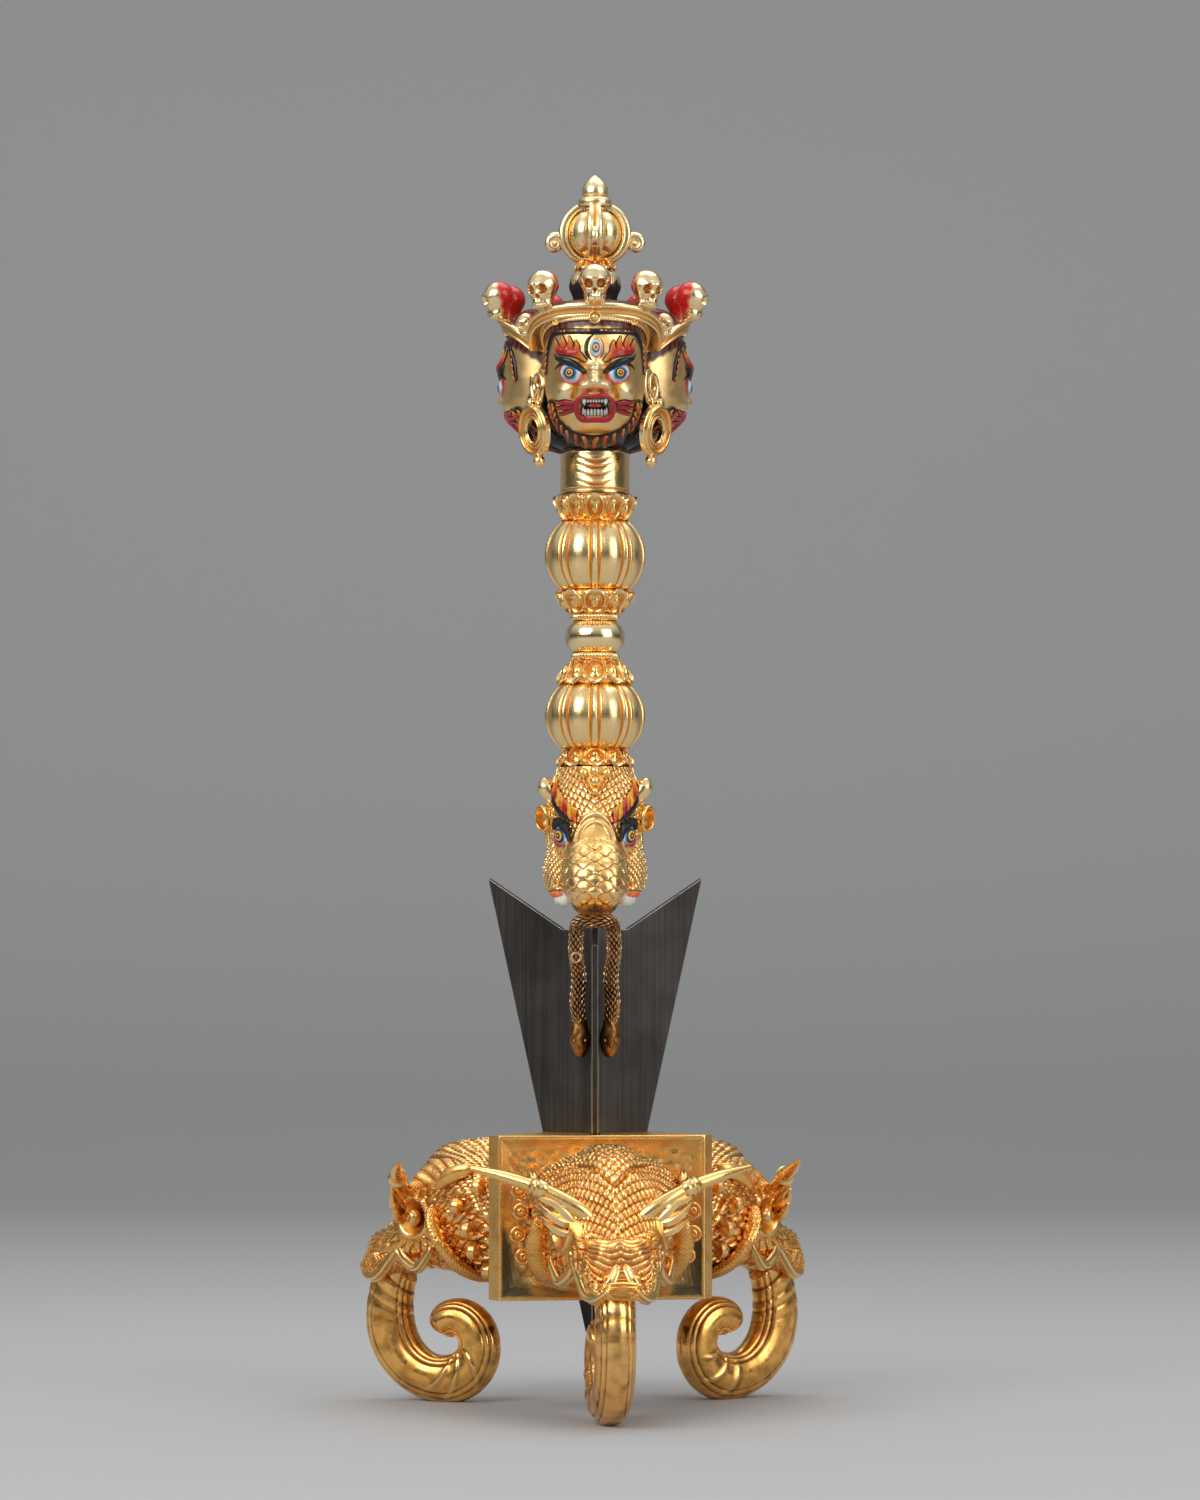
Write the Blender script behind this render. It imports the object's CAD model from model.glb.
import math
import bpy
import numpy as np
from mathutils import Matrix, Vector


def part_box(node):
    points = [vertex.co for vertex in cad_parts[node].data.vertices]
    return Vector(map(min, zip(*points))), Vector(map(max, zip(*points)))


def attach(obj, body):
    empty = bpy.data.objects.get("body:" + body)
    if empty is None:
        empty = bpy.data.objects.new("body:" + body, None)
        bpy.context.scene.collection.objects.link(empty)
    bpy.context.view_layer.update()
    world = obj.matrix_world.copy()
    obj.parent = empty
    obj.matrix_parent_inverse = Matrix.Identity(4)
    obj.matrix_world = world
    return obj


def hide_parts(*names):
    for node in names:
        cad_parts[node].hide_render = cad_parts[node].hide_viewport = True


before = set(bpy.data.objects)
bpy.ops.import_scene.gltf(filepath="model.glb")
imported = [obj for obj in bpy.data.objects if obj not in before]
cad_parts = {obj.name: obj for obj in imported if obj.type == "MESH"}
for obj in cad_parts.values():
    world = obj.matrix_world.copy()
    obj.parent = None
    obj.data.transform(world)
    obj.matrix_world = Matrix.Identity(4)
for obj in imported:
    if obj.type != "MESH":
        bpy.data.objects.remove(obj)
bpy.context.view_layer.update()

# Studio: a pale floor that sweeps up into a grey wall behind, a camera a little over the table at the
# photograph's angle, and soft lamps over the front. None of it belongs to the object.
camera = bpy.data.objects.new("camera", bpy.data.cameras.new("camera"))
bpy.context.scene.collection.objects.link(camera)
camera.data.sensor_fit = "VERTICAL"
camera.data.sensor_height = 36
camera.data.lens = 4657 / 1500 * 36
camera.location = (0.00126, -1.17, 0.113)
camera.rotation_euler = (math.radians(92.52), 0, 0)
bpy.context.scene.camera = camera

FLAT, SWEEP_R, WALL = 0.9, 1.6, 3.0
turn = np.radians(np.linspace(0, 90, 25))
run = np.concatenate([[-5], FLAT + SWEEP_R * np.sin(turn), [FLAT + SWEEP_R]])
rise = np.concatenate([[0], SWEEP_R * (1 - np.cos(turn)), [WALL]])
width = np.array([-5.0, 5.0])
points = np.stack(np.broadcast_arrays(width[None, :], run[:, None], rise[:, None]), -1)
sweep_mesh = bpy.data.meshes.new("floor")
corner = np.arange(len(run) - 1) * 2
sweep_mesh.from_pydata(points.reshape(-1, 3), [], np.stack([corner, corner + 1, corner + 3, corner + 2], 1))
sweep_mesh.polygons.foreach_set("use_smooth", [True] * len(sweep_mesh.polygons))
floor = bpy.data.objects.new("floor", sweep_mesh)
bpy.context.scene.collection.objects.link(floor)
paper = bpy.data.materials.new("studio_paper")
paper.use_nodes = True
paper_shader = paper.node_tree.nodes["Principled BSDF"]
paper_place, paper_axes, paper_run, paper_tone = (paper.node_tree.nodes.new(kind) for kind in (
    "ShaderNodeTexCoord", "ShaderNodeSeparateXYZ", "ShaderNodeMapRange", "ShaderNodeValToRGB"))
paper.node_tree.links.new(paper_place.outputs["Object"], paper_axes.inputs[0])
paper.node_tree.links.new(paper_axes.outputs["Y"], paper_run.inputs["Value"])
paper_run.inputs["From Min"].default_value = -0.3
paper_run.inputs["From Max"].default_value = 2.3
paper.node_tree.links.new(paper_run.outputs["Result"], paper_tone.inputs["Fac"])
for at in (0.2, 0.47, 0.6, 0.885):
    paper_tone.color_ramp.elements.new(at)
for stop, grey in zip(paper_tone.color_ramp.elements, (0.42, 0.42, 0.29, 0.3, 0.48, 0.57)):
    stop.color = (grey, grey, grey, 1)
paper.node_tree.links.new(paper_tone.outputs["Color"], paper_shader.inputs["Base Color"])
paper_shader.inputs["Roughness"].default_value = 0.75
floor.data.materials.append(paper)

world = bpy.data.worlds.new("studio")
bpy.context.scene.world = world
world.use_nodes = True
sky = world.node_tree
sky_place, sky_axes, sky_rise = (sky.nodes.new(kind) for kind in (
    "ShaderNodeTexCoord", "ShaderNodeSeparateXYZ", "ShaderNodeMapRange"))
sky.links.new(sky_place.outputs["Generated"], sky_axes.inputs[0])
sky.links.new(sky_axes.outputs["Z"], sky_rise.inputs["Value"])
for socket, value in (("From Min", 0.1), ("From Max", 0.8), ("To Min", 0.06), ("To Max", 0.7)):
    sky_rise.inputs[socket].default_value = value
sky.links.new(sky_rise.outputs["Result"], sky.nodes["Background"].inputs["Strength"])
sky.nodes["Background"].inputs["Color"].default_value = (0.98, 0.99, 1, 1)
for name, watts, size, place in (
    ("key", 10, (1.0, 0.8), (-0.75, -0.9, 0.85)),
    ("fill", 6, (0.8, 1.0), (0.95, -0.8, 0.6)),
    ("top", 6, (1.2, 0.9), (0.1, 0.3, 1.3)),
):
    lamp = bpy.data.lights.new(name, "AREA")
    lamp.shape = "RECTANGLE"
    lamp.size, lamp.size_y = size
    lamp.energy = watts
    light = bpy.data.objects.new(name, lamp)
    bpy.context.scene.collection.objects.link(light)
    light.location = place
    aim = light.location.copy()
    aim.z -= 0.16
    light.rotation_euler = aim.to_track_quat("Z", "Y").to_euler()
bpy.context.scene.view_settings.view_transform = "Standard"

# Handle knots: two ribbed melon knots, cast hollow, fire-gilt and brushed from pole to pole between
# their ribs. They are threaded on the tang rod and pressed between the lotus collars.
def span(node):
    """Lowest and highest corner of a CAD node, in millimetres."""
    return [np.array(corner) * 1000 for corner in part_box(node)]


def hollow_share(rings, looped, outward, reach):
    """How far each point lies under the mean of the four points that are reach steps away, along the normal."""
    wide = np.pad(rings, ((reach, reach), (0, 0), (0, 0)), mode="wrap" if looped else "edge")
    up, down = wide[2 * reach:], wide[:-2 * reach]
    left, right = np.roll(rings, reach, 1), np.roll(rings, -reach, 1)
    normal = np.cross(right - left, up - down) * outward
    normal /= np.linalg.norm(normal, axis=-1, keepdims=True) + 1e-9
    return (((up + down + left + right) / 4 - rings) * normal).sum(-1)


def casting(name, grids, depth=0.1, reach=2, smooth=42, paints=None):
    """One mesh from grids of points in millimetres. Ring i of a grid is closed round, and the rings are joined in
    their order, with a fan over each end, or into a loop where the grid comes as (rings, True). The attribute
    hollow is each point's depth under its neighbours over the given depth, and paints has a colour array a grid."""
    points, quads, fans, hollow, colours, start = [], [], [], [], [], 0
    for k, rings in enumerate(grids):
        rings, looped = rings if isinstance(rings, tuple) else (rings, False)
        m, n = rings.shape[:2]
        ids = np.arange(m * n).reshape(m, n)
        low, high = (ids, np.roll(ids, -1, 0)) if looped else (ids[:-1], ids[1:])
        quad = np.stack([low, np.roll(low, -1, 1), np.roll(high, -1, 1), high], -1).reshape(-1, 4)
        flat = rings.reshape(-1, 3)
        ends = np.zeros((0, 3), int)
        if not looped:
            flat = np.vstack([flat, rings[0].mean(0), rings[-1].mean(0)])
            first, last = ids[0], ids[-1]
            ends = np.vstack([
                np.stack([np.full(n, m * n), np.roll(first, -1), first], 1),
                np.stack([np.full(n, m * n + 1), last, np.roll(last, -1)], 1),
            ])
        sides = np.vstack([quad[:, [0, 1, 2]], quad[:, [0, 2, 3]], ends])
        a, b, c = (flat[sides[:, i]] - flat.mean(0) for i in range(3))
        outward = 1 if (a * np.cross(b, c)).sum() > 0 else -1
        if outward < 0:
            quad, ends = quad[:, ::-1], ends[:, ::-1]
        deep = hollow_share(rings, looped, outward, reach) + 0.5 * hollow_share(rings, looped, outward, 3 * reach)
        deep = np.clip(deep / depth, -1, 1).reshape(-1)
        points.append(flat)
        hollow.append(np.concatenate([deep, [deep[:n].mean(), deep[-n:].mean()]]) if not looped else deep)
        if paints is not None:
            tint = np.broadcast_to(paints[k], (m, n, 4)).reshape(-1, 4)
            colours.append(tint if looped else np.vstack([tint, tint[:n].mean(0), tint[-n:].mean(0)]))
        quads.append(quad + start)
        fans.append(ends + start)
        start += len(flat)
    mesh = bpy.data.meshes.new(name)
    points, quads, fans = np.vstack(points) / 1000, np.vstack(quads), np.vstack(fans)
    mesh.vertices.add(len(points))
    mesh.vertices.foreach_set("co", points.ravel())
    corners = np.concatenate([quads.ravel(), fans.ravel()])
    mesh.loops.add(len(corners))
    mesh.loops.foreach_set("vertex_index", corners)
    mesh.polygons.add(len(quads) + len(fans))
    starts = np.concatenate([np.arange(len(quads)) * 4, len(quads) * 4 + np.arange(len(fans)) * 3])
    mesh.polygons.foreach_set("loop_start", starts)
    mesh.update(calc_edges=True)
    mesh.validate()
    mesh.shade_smooth()
    mesh.set_sharp_from_angle(angle=math.radians(smooth))
    layer = mesh.attributes.new("hollow", "FLOAT", "POINT")
    layer.data.foreach_set("value", np.concatenate(hollow).astype(np.float32))
    if paints is not None:
        layer = mesh.attributes.new("paint", "FLOAT_COLOR", "POINT")
        layer.data.foreach_set("color", np.vstack(colours).astype(np.float32).ravel())
    piece = bpy.data.objects.new(name, mesh)
    bpy.context.scene.collection.objects.link(piece)
    return piece


def settle(piece, body, slot, finish, *nodes):
    """The piece rides on its body, takes its slot's finish and stands for its CAD nodes."""
    piece.data.materials.append(finish)
    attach(piece, body)
    if nodes:
        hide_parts(*nodes)


def turned(radius, height, sides=96):
    """Rings of a lathe-turned form: ring i is a circle of radius[i], or of radius[i, j] at angle j, at height[i]."""
    angle = np.linspace(0, 2 * math.pi, sides, endpoint=False)
    radius = np.broadcast_to(np.asarray(radius, float).reshape(len(height), -1), (len(height), sides))
    height = np.broadcast_to(np.asarray(height, float).reshape(len(height), -1), (len(height), sides))
    return np.stack([radius * np.cos(angle), radius * np.sin(angle), height], -1)


def gilding_group():
    """Fire gilding: orange in the hollows and pale on the edges, in soft clouds, with fine brush marks."""
    group = bpy.data.node_groups.new("gilding", "ShaderNodeTree")
    for label, kind, way in (
        ("Pale", "NodeSocketColor", "INPUT"), ("Deep", "NodeSocketColor", "INPUT"),
        ("Brush", "NodeSocketVector", "INPUT"), ("Brush Depth", "NodeSocketFloat", "INPUT"),
        ("Gloss", "NodeSocketFloat", "INPUT"), ("Tarnish", "NodeSocketFloat", "INPUT"),
        ("Color", "NodeSocketColor", "OUTPUT"), ("Roughness", "NodeSocketFloat", "OUTPUT"),
        ("Normal", "NodeSocketVector", "OUTPUT"),
    ):
        group.interface.new_socket(label, in_out=way, socket_type=kind)
    add, link = group.nodes.new, group.links.new
    ins, outs = add("NodeGroupInput"), add("NodeGroupOutput")
    place = add("ShaderNodeTexCoord")
    hollow = add("ShaderNodeAttribute")
    hollow.attribute_name = "hollow"
    clouds = add("ShaderNodeTexNoise")
    clouds.inputs["Scale"].default_value = 260
    clouds.inputs["Detail"].default_value = 5
    link(place.outputs["Object"], clouds.inputs["Vector"])
    brushed = add("ShaderNodeVectorMath")
    brushed.operation = "MULTIPLY"
    link(place.outputs["Object"], brushed.inputs[0])
    link(ins.outputs["Brush"], brushed.inputs[1])
    marks = add("ShaderNodeTexNoise")
    marks.inputs["Scale"].default_value = 1
    marks.inputs["Detail"].default_value = 3
    link(brushed.outputs[0], marks.inputs["Vector"])

    def ramp(source, low, high, to_low, to_high):
        node = add("ShaderNodeMapRange")
        link(source, node.inputs["Value"])
        for slot, value in zip(("From Min", "From Max", "To Min", "To Max"), (low, high, to_low, to_high)):
            node.inputs[slot].default_value = value
        return node.outputs["Result"]

    def sum_of(a, b, how="ADD"):
        node = add("ShaderNodeMath")
        node.operation = how
        node.use_clamp = True
        for slot, value in enumerate((a, b)):
            if isinstance(value, (int, float)):
                node.inputs[slot].default_value = value
            else:
                link(value, node.inputs[slot])
        return node.outputs[0]

    deep = sum_of(ramp(hollow.outputs["Fac"], -0.1, 0.8, 0.0, 1.0),
                  sum_of(ramp(clouds.outputs["Fac"], 0.45, 0.8, 0.0, 1.0), ins.outputs["Tarnish"], "MULTIPLY"))
    edge = ramp(hollow.outputs["Fac"], -0.15, -0.9, 0.0, 0.5)
    tint = add("ShaderNodeMix")
    tint.data_type = "RGBA"
    link(deep, tint.inputs["Factor"])
    link(ins.outputs["Pale"], tint.inputs[6])
    link(ins.outputs["Deep"], tint.inputs[7])
    bright = add("ShaderNodeMix")
    bright.data_type = "RGBA"
    bright.inputs[7].default_value = (1, 0.86, 0.56, 1)
    link(edge, bright.inputs["Factor"])
    link(tint.outputs[2], bright.inputs[6])
    link(bright.outputs[2], outs.inputs["Color"])
    gloss = sum_of(ins.outputs["Gloss"], sum_of(ramp(deep, 0, 1, 0, 0.3), ramp(marks.outputs["Fac"], 0.3, 0.7, 0, 0.1)))
    link(gloss, outs.inputs["Roughness"])
    fine = add("ShaderNodeTexNoise")
    fine.inputs["Scale"].default_value = 900
    fine.inputs["Detail"].default_value = 4
    link(place.outputs["Object"], fine.inputs["Vector"])
    relief = sum_of(sum_of(marks.outputs["Fac"], ins.outputs["Brush Depth"], "MULTIPLY"),
                    ramp(fine.outputs["Fac"], 0.2, 0.8, 0, 0.35))
    bump = add("ShaderNodeBump")
    bump.inputs["Strength"].default_value = 0.35
    bump.inputs["Distance"].default_value = 0.0001
    link(relief, bump.inputs["Height"])
    link(bump.outputs["Normal"], outs.inputs["Normal"])
    return group


gilding = gilding_group()


def gilt(name, pale, deep, brush=(900, 900, 900), brush_depth=0.2, gloss=0.2, tarnish=0.5):
    """Gilt metal with its own pale and deep tint, brush direction, gloss and tarnish."""
    finish = bpy.data.materials.new(name)
    finish.use_nodes = True
    tree = finish.node_tree
    shader = tree.nodes["Principled BSDF"]
    node = tree.nodes.new("ShaderNodeGroup")
    node.node_tree = gilding
    for label, value in (("Pale", (*pale, 1)), ("Deep", (*deep, 1)), ("Brush", brush),
                         ("Brush Depth", brush_depth), ("Gloss", gloss), ("Tarnish", tarnish)):
        node.inputs[label].default_value = value
    shader.inputs["Metallic"].default_value = 1
    tree.links.new(node.outputs["Color"], shader.inputs["Base Color"])
    tree.links.new(node.outputs["Roughness"], shader.inputs["Roughness"])
    tree.links.new(node.outputs["Normal"], shader.inputs["Normal"])
    return finish


PALE_GOLD, DEEP_GOLD = (1.0, 0.62, 0.2), (0.72, 0.27, 0.035)
brushed_gold = gilt("brushed_gilding", PALE_GOLD, DEEP_GOLD, (2600, 2600, 70), 0.9, 0.2, 0.15)
RIBS = 9
for node, pole in (("melon_low", 0.61), ("melon_high", 0.61)):
    low, high = span(node)
    height, wide = high[2] - low[2], high[0] - low[0]
    bend = pole * height + 0.6
    up = np.linspace(-1, 1, 51) * height / 2
    barrel = (wide / 2 - bend + np.sqrt(bend ** 2 - up ** 2))[:, None]
    angle = np.linspace(0, 2 * math.pi, 396, endpoint=False)[None, :]
    off_rib = np.abs((angle + math.pi / 2 + math.pi / RIBS) % (2 * math.pi / RIBS) - math.pi / RIBS)
    across = off_rib * wide / 2
    panel = wide / 2 * math.pi / RIBS
    relief = (0.5 * np.clip(1 - (across / 0.85) ** 2, 0, 1) - 0.28 * np.exp(-((across - 1.25) / 0.35) ** 2)
              + 0.1 * np.exp(-((across - 1.8) / 0.25) ** 2)
              + 0.42 * np.clip(1 - ((across - panel) / (panel - 1.9)) ** 2, 0, 1) - 0.5)
    radius = barrel + relief * barrel / (wide / 2)
    settle(casting(node + "_ribbed", [turned(radius, up + (low[2] + high[2]) / 2, 396)], 0.13, 2),
           "dagger", "bright_gold", brushed_gold, node)

# Lotus collars: rings of cast petals, each with a raised lip, an orange recess and a round boss, over a
# second row of pointed tips. They are gilt, and are pressed on the rod above and below each knot.
petal_gold = gilt("petal_gilding", PALE_GOLD, (0.75, 0.27, 0.05), (700, 700, 700), 0.2, 0.17, 0.35)


def flared(node, opens_up, share):
    """Radius, height and outward normal of a collar's flare at a share of its height, foot 0 and lip 1."""
    low, high = span(node)
    tall, lip = high[2] - low[2], (high[0] - low[0]) / 2
    foot = {"lotus_beast": 8, "lotus_neck": 8.1, "finial_collar": 5.06}.get(node, 6.25)
    at, reach = [0, 0.25, 0.5, 0.64, 0.78, 0.88, 1], [foot, (foot + lip - 1.2) / 2, lip - 1.2, lip - 0.35, lip, lip - 0.15, lip - 1.2]
    radius = np.interp(share, at, reach)
    slope = (np.interp(share + 0.05, at, reach) - np.interp(share - 0.05, at, reach)) / (0.1 * tall)
    size = np.sqrt(1 + slope ** 2)
    height = low[2] + share * tall if opens_up else high[2] - share * tall
    return radius, height, 1 / size, (-1 if opens_up else 1) * slope / size


def petal(node, opens_up, turn, half, length, lift, pointed, sides=24):
    """Closed rings of one petal: q runs from its boss to its outline over the top, then back under it.
    The outline bends round the flare, and the relief stands along the flare's normal."""
    low, high = span(node)
    tall = high[2] - low[2]
    q = np.concatenate([np.linspace(0.02, 1, 22), [1, 0.5, 0.02]])[:, None]
    under = np.concatenate([np.zeros(22), [1, 1, 1]])[:, None]
    way = np.linspace(0, 2 * math.pi, sides, endpoint=False)[None, :]
    tip = (1 + np.cos(way)) / 2
    x = half * np.sin(way) * (0.78 + 0.22 * tip) * (1 - (0.45 * tip ** 3 if pointed else 0))
    y = 0.5 * length * np.cos(way)
    boss_y = -0.14 * length
    x, y = q * x, boss_y + q * (y - boss_y)
    if pointed:
        relief = 0.3 * np.exp(-(x / 0.35) ** 2) - 0.3 * q ** 3 + 0 * x
    else:
        relief = (0.6 * np.exp(-((q - 0.87) / 0.1) ** 2) - 0.35 * np.exp(-((q - 0.6) / 0.14) ** 2)
                  + 0.85 * np.sqrt(np.clip(1 - (q / 0.36) ** 2, 0, 1))
                  - 0.5 * np.clip((q - 0.93) / 0.07, 0, 1) + 0 * x)
    scale = min(1, half / 3)
    relief = lift + np.where(under > 0, -0.8, relief * scale)
    radius, height, out, up = flared(node, opens_up, 0.5 + y / tall)
    angle = math.radians(turn) + x / radius
    radius, height = radius + relief * out - 0.45, height + relief * up
    return np.stack([radius * np.cos(angle), radius * np.sin(angle), height], -1)


for node, count, opens_up in (("lotus_beast", 10, False), ("lotus_low", 10, False), ("lotus_high", 9, True),
                              ("lotus_neck", 12, True), ("finial_collar", 12, False)):
    low, high = span(node)
    lip, tall = (high[0] - low[0]) / 2, high[2] - low[2]
    half = lip * math.sin(math.pi / count) * 1.02
    share = np.linspace(0, 1, 24)
    radius, height, _, _ = flared(node, opens_up, share)
    grids = [turned(radius - 1.0, height, 72)]
    for k in range(count):
        turn = 360 * k / count - 90
        grids.append(petal(node, opens_up, turn, half, tall * 0.94, 0.0, False))
        grids.append(petal(node, opens_up, turn + 180 / count, half * 0.8, tall * 0.96, -0.3, True))
    settle(casting(node + "_petals", grids, 0.26, 1), "dagger", "bright_gold", petal_gold, node)

# Ball and milled rings at the middle of the handle: turned, gilt and burnished. The rings sit on both
# sides of the ball, between it and the collars.
burnished_gold = gilt("burnished_gilding", (0.98, 0.68, 0.28), (0.8, 0.4, 0.09), (300, 300, 2200), 0.35, 0.12, 0.1)
low, high = span("ball")
ball_bend = (high[2] - low[2]) * 0.575
up = np.linspace(-1, 1, 49) * (high[2] - low[2]) / 2
profile = high[0] - ball_bend + np.sqrt(ball_bend ** 2 - up ** 2) - 0.12 * np.exp(-((np.abs(up) - 3.3) / 0.25) ** 2)
settle(casting("ball_burnished", [turned(profile, up + (low[2] + high[2]) / 2, 128)], 0.1),
       "dagger", "bright_gold", burnished_gold, "ball")
for node in ("bead_ring_low", "bead_ring_high"):
    low, high = span(node)
    half = (high[2] - low[2]) / 2
    sweep = np.radians(np.linspace(-90, 90, 13))[:, None]
    bead = 0.5 + 0.5 * np.cos(44 * np.linspace(0, 2 * math.pi, 352, endpoint=False))[None, :]
    radius = high[0] - half + half * np.cos(sweep) * (0.72 + 0.28 * np.sqrt(bead))
    settle(casting(node + "_milled", [turned(radius, low[2] + half + half * np.sin(sweep[:, 0]), 352)], 0.09, 1),
           "dagger", "bright_gold", petal_gold, node)

# Neck: a cast tube with four thin throat creases that sag at each face's front, and a plain burnished
# band where it sits on its collar. It runs on up under the chin.
low, high = span("neck")
tall = high[2] - low[2] + 3.6
up = np.linspace(0, tall, 92)[:, None]
angle = np.linspace(0, 2 * math.pi, 160, endpoint=False)[None, :]
facing = np.cos(1.5 * ((angle + math.pi / 2 + math.pi / 3) % (2 * math.pi / 3) - math.pi / 3)) ** 2
radius = high[0] - 0.25 + 0 * up + 0 * angle
for middle in (1.9, 4.1, 6.1, 7.7):
    fold = middle + 2.2 * (1 - facing)
    radius = radius + facing ** 4 * (0.22 * np.exp(-((up - fold - 0.6) / 0.45) ** 2) - 0.5 * np.exp(-((up - fold) / 0.26) ** 2))
radius = radius + 0.2 * np.clip((0.9 - up) / 0.2, 0, 1) - 0.25 * np.exp(-((up - 1.0) / 0.15) ** 2)
radius = radius - 1.6 * np.clip((up - tall + 1.8) / 1.8, 0, 1) ** 2
settle(casting("neck_folded", [turned(np.minimum(radius, high[0]), up[:, 0] + low[2], 160)], 0.26, 3),
       "dagger", "bright_gold", petal_gold, "neck")

# Finial: a bud with eight gores inside four prongs, each prong grooved along its back with a rolled
# hook low on it, and over them a ring and a pointed dome. Cast in one set and gilt.
def on_axis(rings, degrees):
    """Rings turned about the dagger's axis."""
    c, s = math.cos(math.radians(degrees)), math.sin(math.radians(degrees))
    x, y, z = rings[..., 0], rings[..., 1], rings[..., 2]
    return np.stack([c * x - s * y, s * x + c * y, z], -1)


def spline(knots, steps):
    """Smooth curve through the knots, with steps points to each stretch (Catmull-Rom, as the CAD's own)."""
    k = np.asarray(knots, float)
    k = np.vstack([k[:1], k, k[-1:]])
    a, b, c, d = k[:-3, None], k[1:-2, None], k[2:-1, None], k[3:, None]
    t = (np.arange(steps) / steps)[None, :, None]
    path = 0.5 * (2 * b + (c - a) * t + (2 * a - 5 * b + 4 * c - d) * t ** 2 + (3 * b - a - 3 * c + d) * t ** 3)
    return np.vstack([path.reshape(-1, k.shape[1]), k[-2:-1]])


def tube(path, radius, sides=16, up=(0, 0, 1), flat=1.0, relief=None):
    """Rings round a path. Each is square to the path, its radius flattened by flat along the second normal,
    and relief adds to the radius at each ring and side."""
    path = np.asarray(path, float)
    along = np.gradient(path, axis=0)
    one = np.cross(along, np.asarray(up, float))
    one /= np.linalg.norm(one, axis=1, keepdims=True) + 1e-12
    two = np.cross(along, one)
    two /= np.linalg.norm(two, axis=1, keepdims=True) + 1e-12
    way = np.linspace(0, 2 * math.pi, sides, endpoint=False)
    radius = np.broadcast_to(np.asarray(radius, float).reshape(len(path), -1), (len(path), sides))
    if relief is not None:
        radius = radius + relief
    return (path[:, None] + (radius * np.cos(way))[..., None] * one[:, None]
            + (flat * radius * np.sin(way))[..., None] * two[:, None])


finial_gold = gilt("finial_gilding", (1.0, 0.75, 0.35), DEEP_GOLD, (700, 700, 700), 0.2, 0.22, 0.2)
low, high = span("finial_prongs")
cage_h, cage_w = high[2] - low[2], 18.4
arc_r, mid = 0.58 * cage_h, low[2] + 0.49 * cage_h
off = cage_w / 2 - 1 - arc_r
bow = np.radians(np.linspace(-62, 62, 49))
way = np.linspace(0, 2 * math.pi, 40, endpoint=False)
outer = np.sign(np.cos(way)) * np.abs(np.cos(way)) ** 0.7
grids = []
for k in range(4):
    groove = 0.4 * np.exp(-(np.sin(way) / 0.22) ** 2) * (np.cos(way) > 0)
    thick = 1.2 * outer - groove
    swell = (0.75 + 0.35 * np.cos(bow) ** 2)[:, None]
    reach = off + (arc_r - 0.2 + thick[None, :] * swell) * np.cos(bow)[:, None]
    rise = mid + (arc_r - 0.2 + thick[None, :] * swell) * np.sin(bow)[:, None]
    side = 1.9 * np.sign(np.sin(way)) * np.abs(np.sin(way)) ** 0.7 * swell
    grids.append(on_axis(np.stack([reach, side, rise], -1), 90 * k))
    curl = np.radians(np.linspace(150, -330, 60))
    shrink = np.linspace(1.95, 0.6, 60)
    hook = np.stack([cage_w / 2 + 0.9 + shrink * np.cos(curl), 0 * curl, mid - 2.4 + shrink * np.sin(curl)], -1)
    grids.append(on_axis(tube(hook, np.linspace(1.3, 0.75, 60), 14, (0, 1, 0)), 90 * k))
    grids.append(on_axis(turned(0.95 * np.cos(np.radians(np.linspace(-85, 85, 12))),
                                1.5 * np.sin(np.radians(np.linspace(-85, 85, 12))), 16)[..., [0, 2, 1]]
                         + np.array([cage_w / 2 + 0.9, 0, mid - 2.4]), 90 * k))
settle(casting("finial_prongs_cast", grids, 0.1, 1), "dagger", "bright_gold", finial_gold, "finial_prongs")

low, high = span("finial_bud")
up = np.linspace(0.03, 0.97, 36)[:, None]
round_r = 0.5 + np.sqrt(np.clip(6.45 ** 2 - ((up - 0.49) * cage_h) ** 2, 2.6 ** 2, None))
angle = np.linspace(0, 2 * math.pi, 192, endpoint=False)[None, :]
gore = np.abs(np.cos(4 * angle)) ** 0.6
settle(casting("finial_bud_gored", [turned(round_r - 0.5 + 0.5 * gore, low[2] + up[:, 0] * cage_h, 192)], 0.27),
       "dagger", "bright_gold", finial_gold, "finial_bud")
low, high = span("finial_tip")
profile = spline([(3.3, 0), (4.1, 0.2), (4.33, 0.9), (4.3, 1.6), (3.9, 2.2), (3.1, 2.4), (2.9, 2.6), (3.3, 3.0),
                  (3.38, 3.9), (3.2, 5.0), (2.6, 6.1), (1.75, 7.1), (0.95, 7.7), (0.45, 8.05), (0.1, 8.25)], 5)
settle(casting("finial_tip_turned", [turned(profile[:, 0], low[2] + profile[:, 1], 96)], 0.12),
       "dagger", "bright_gold", finial_gold, "finial_tip")


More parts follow.
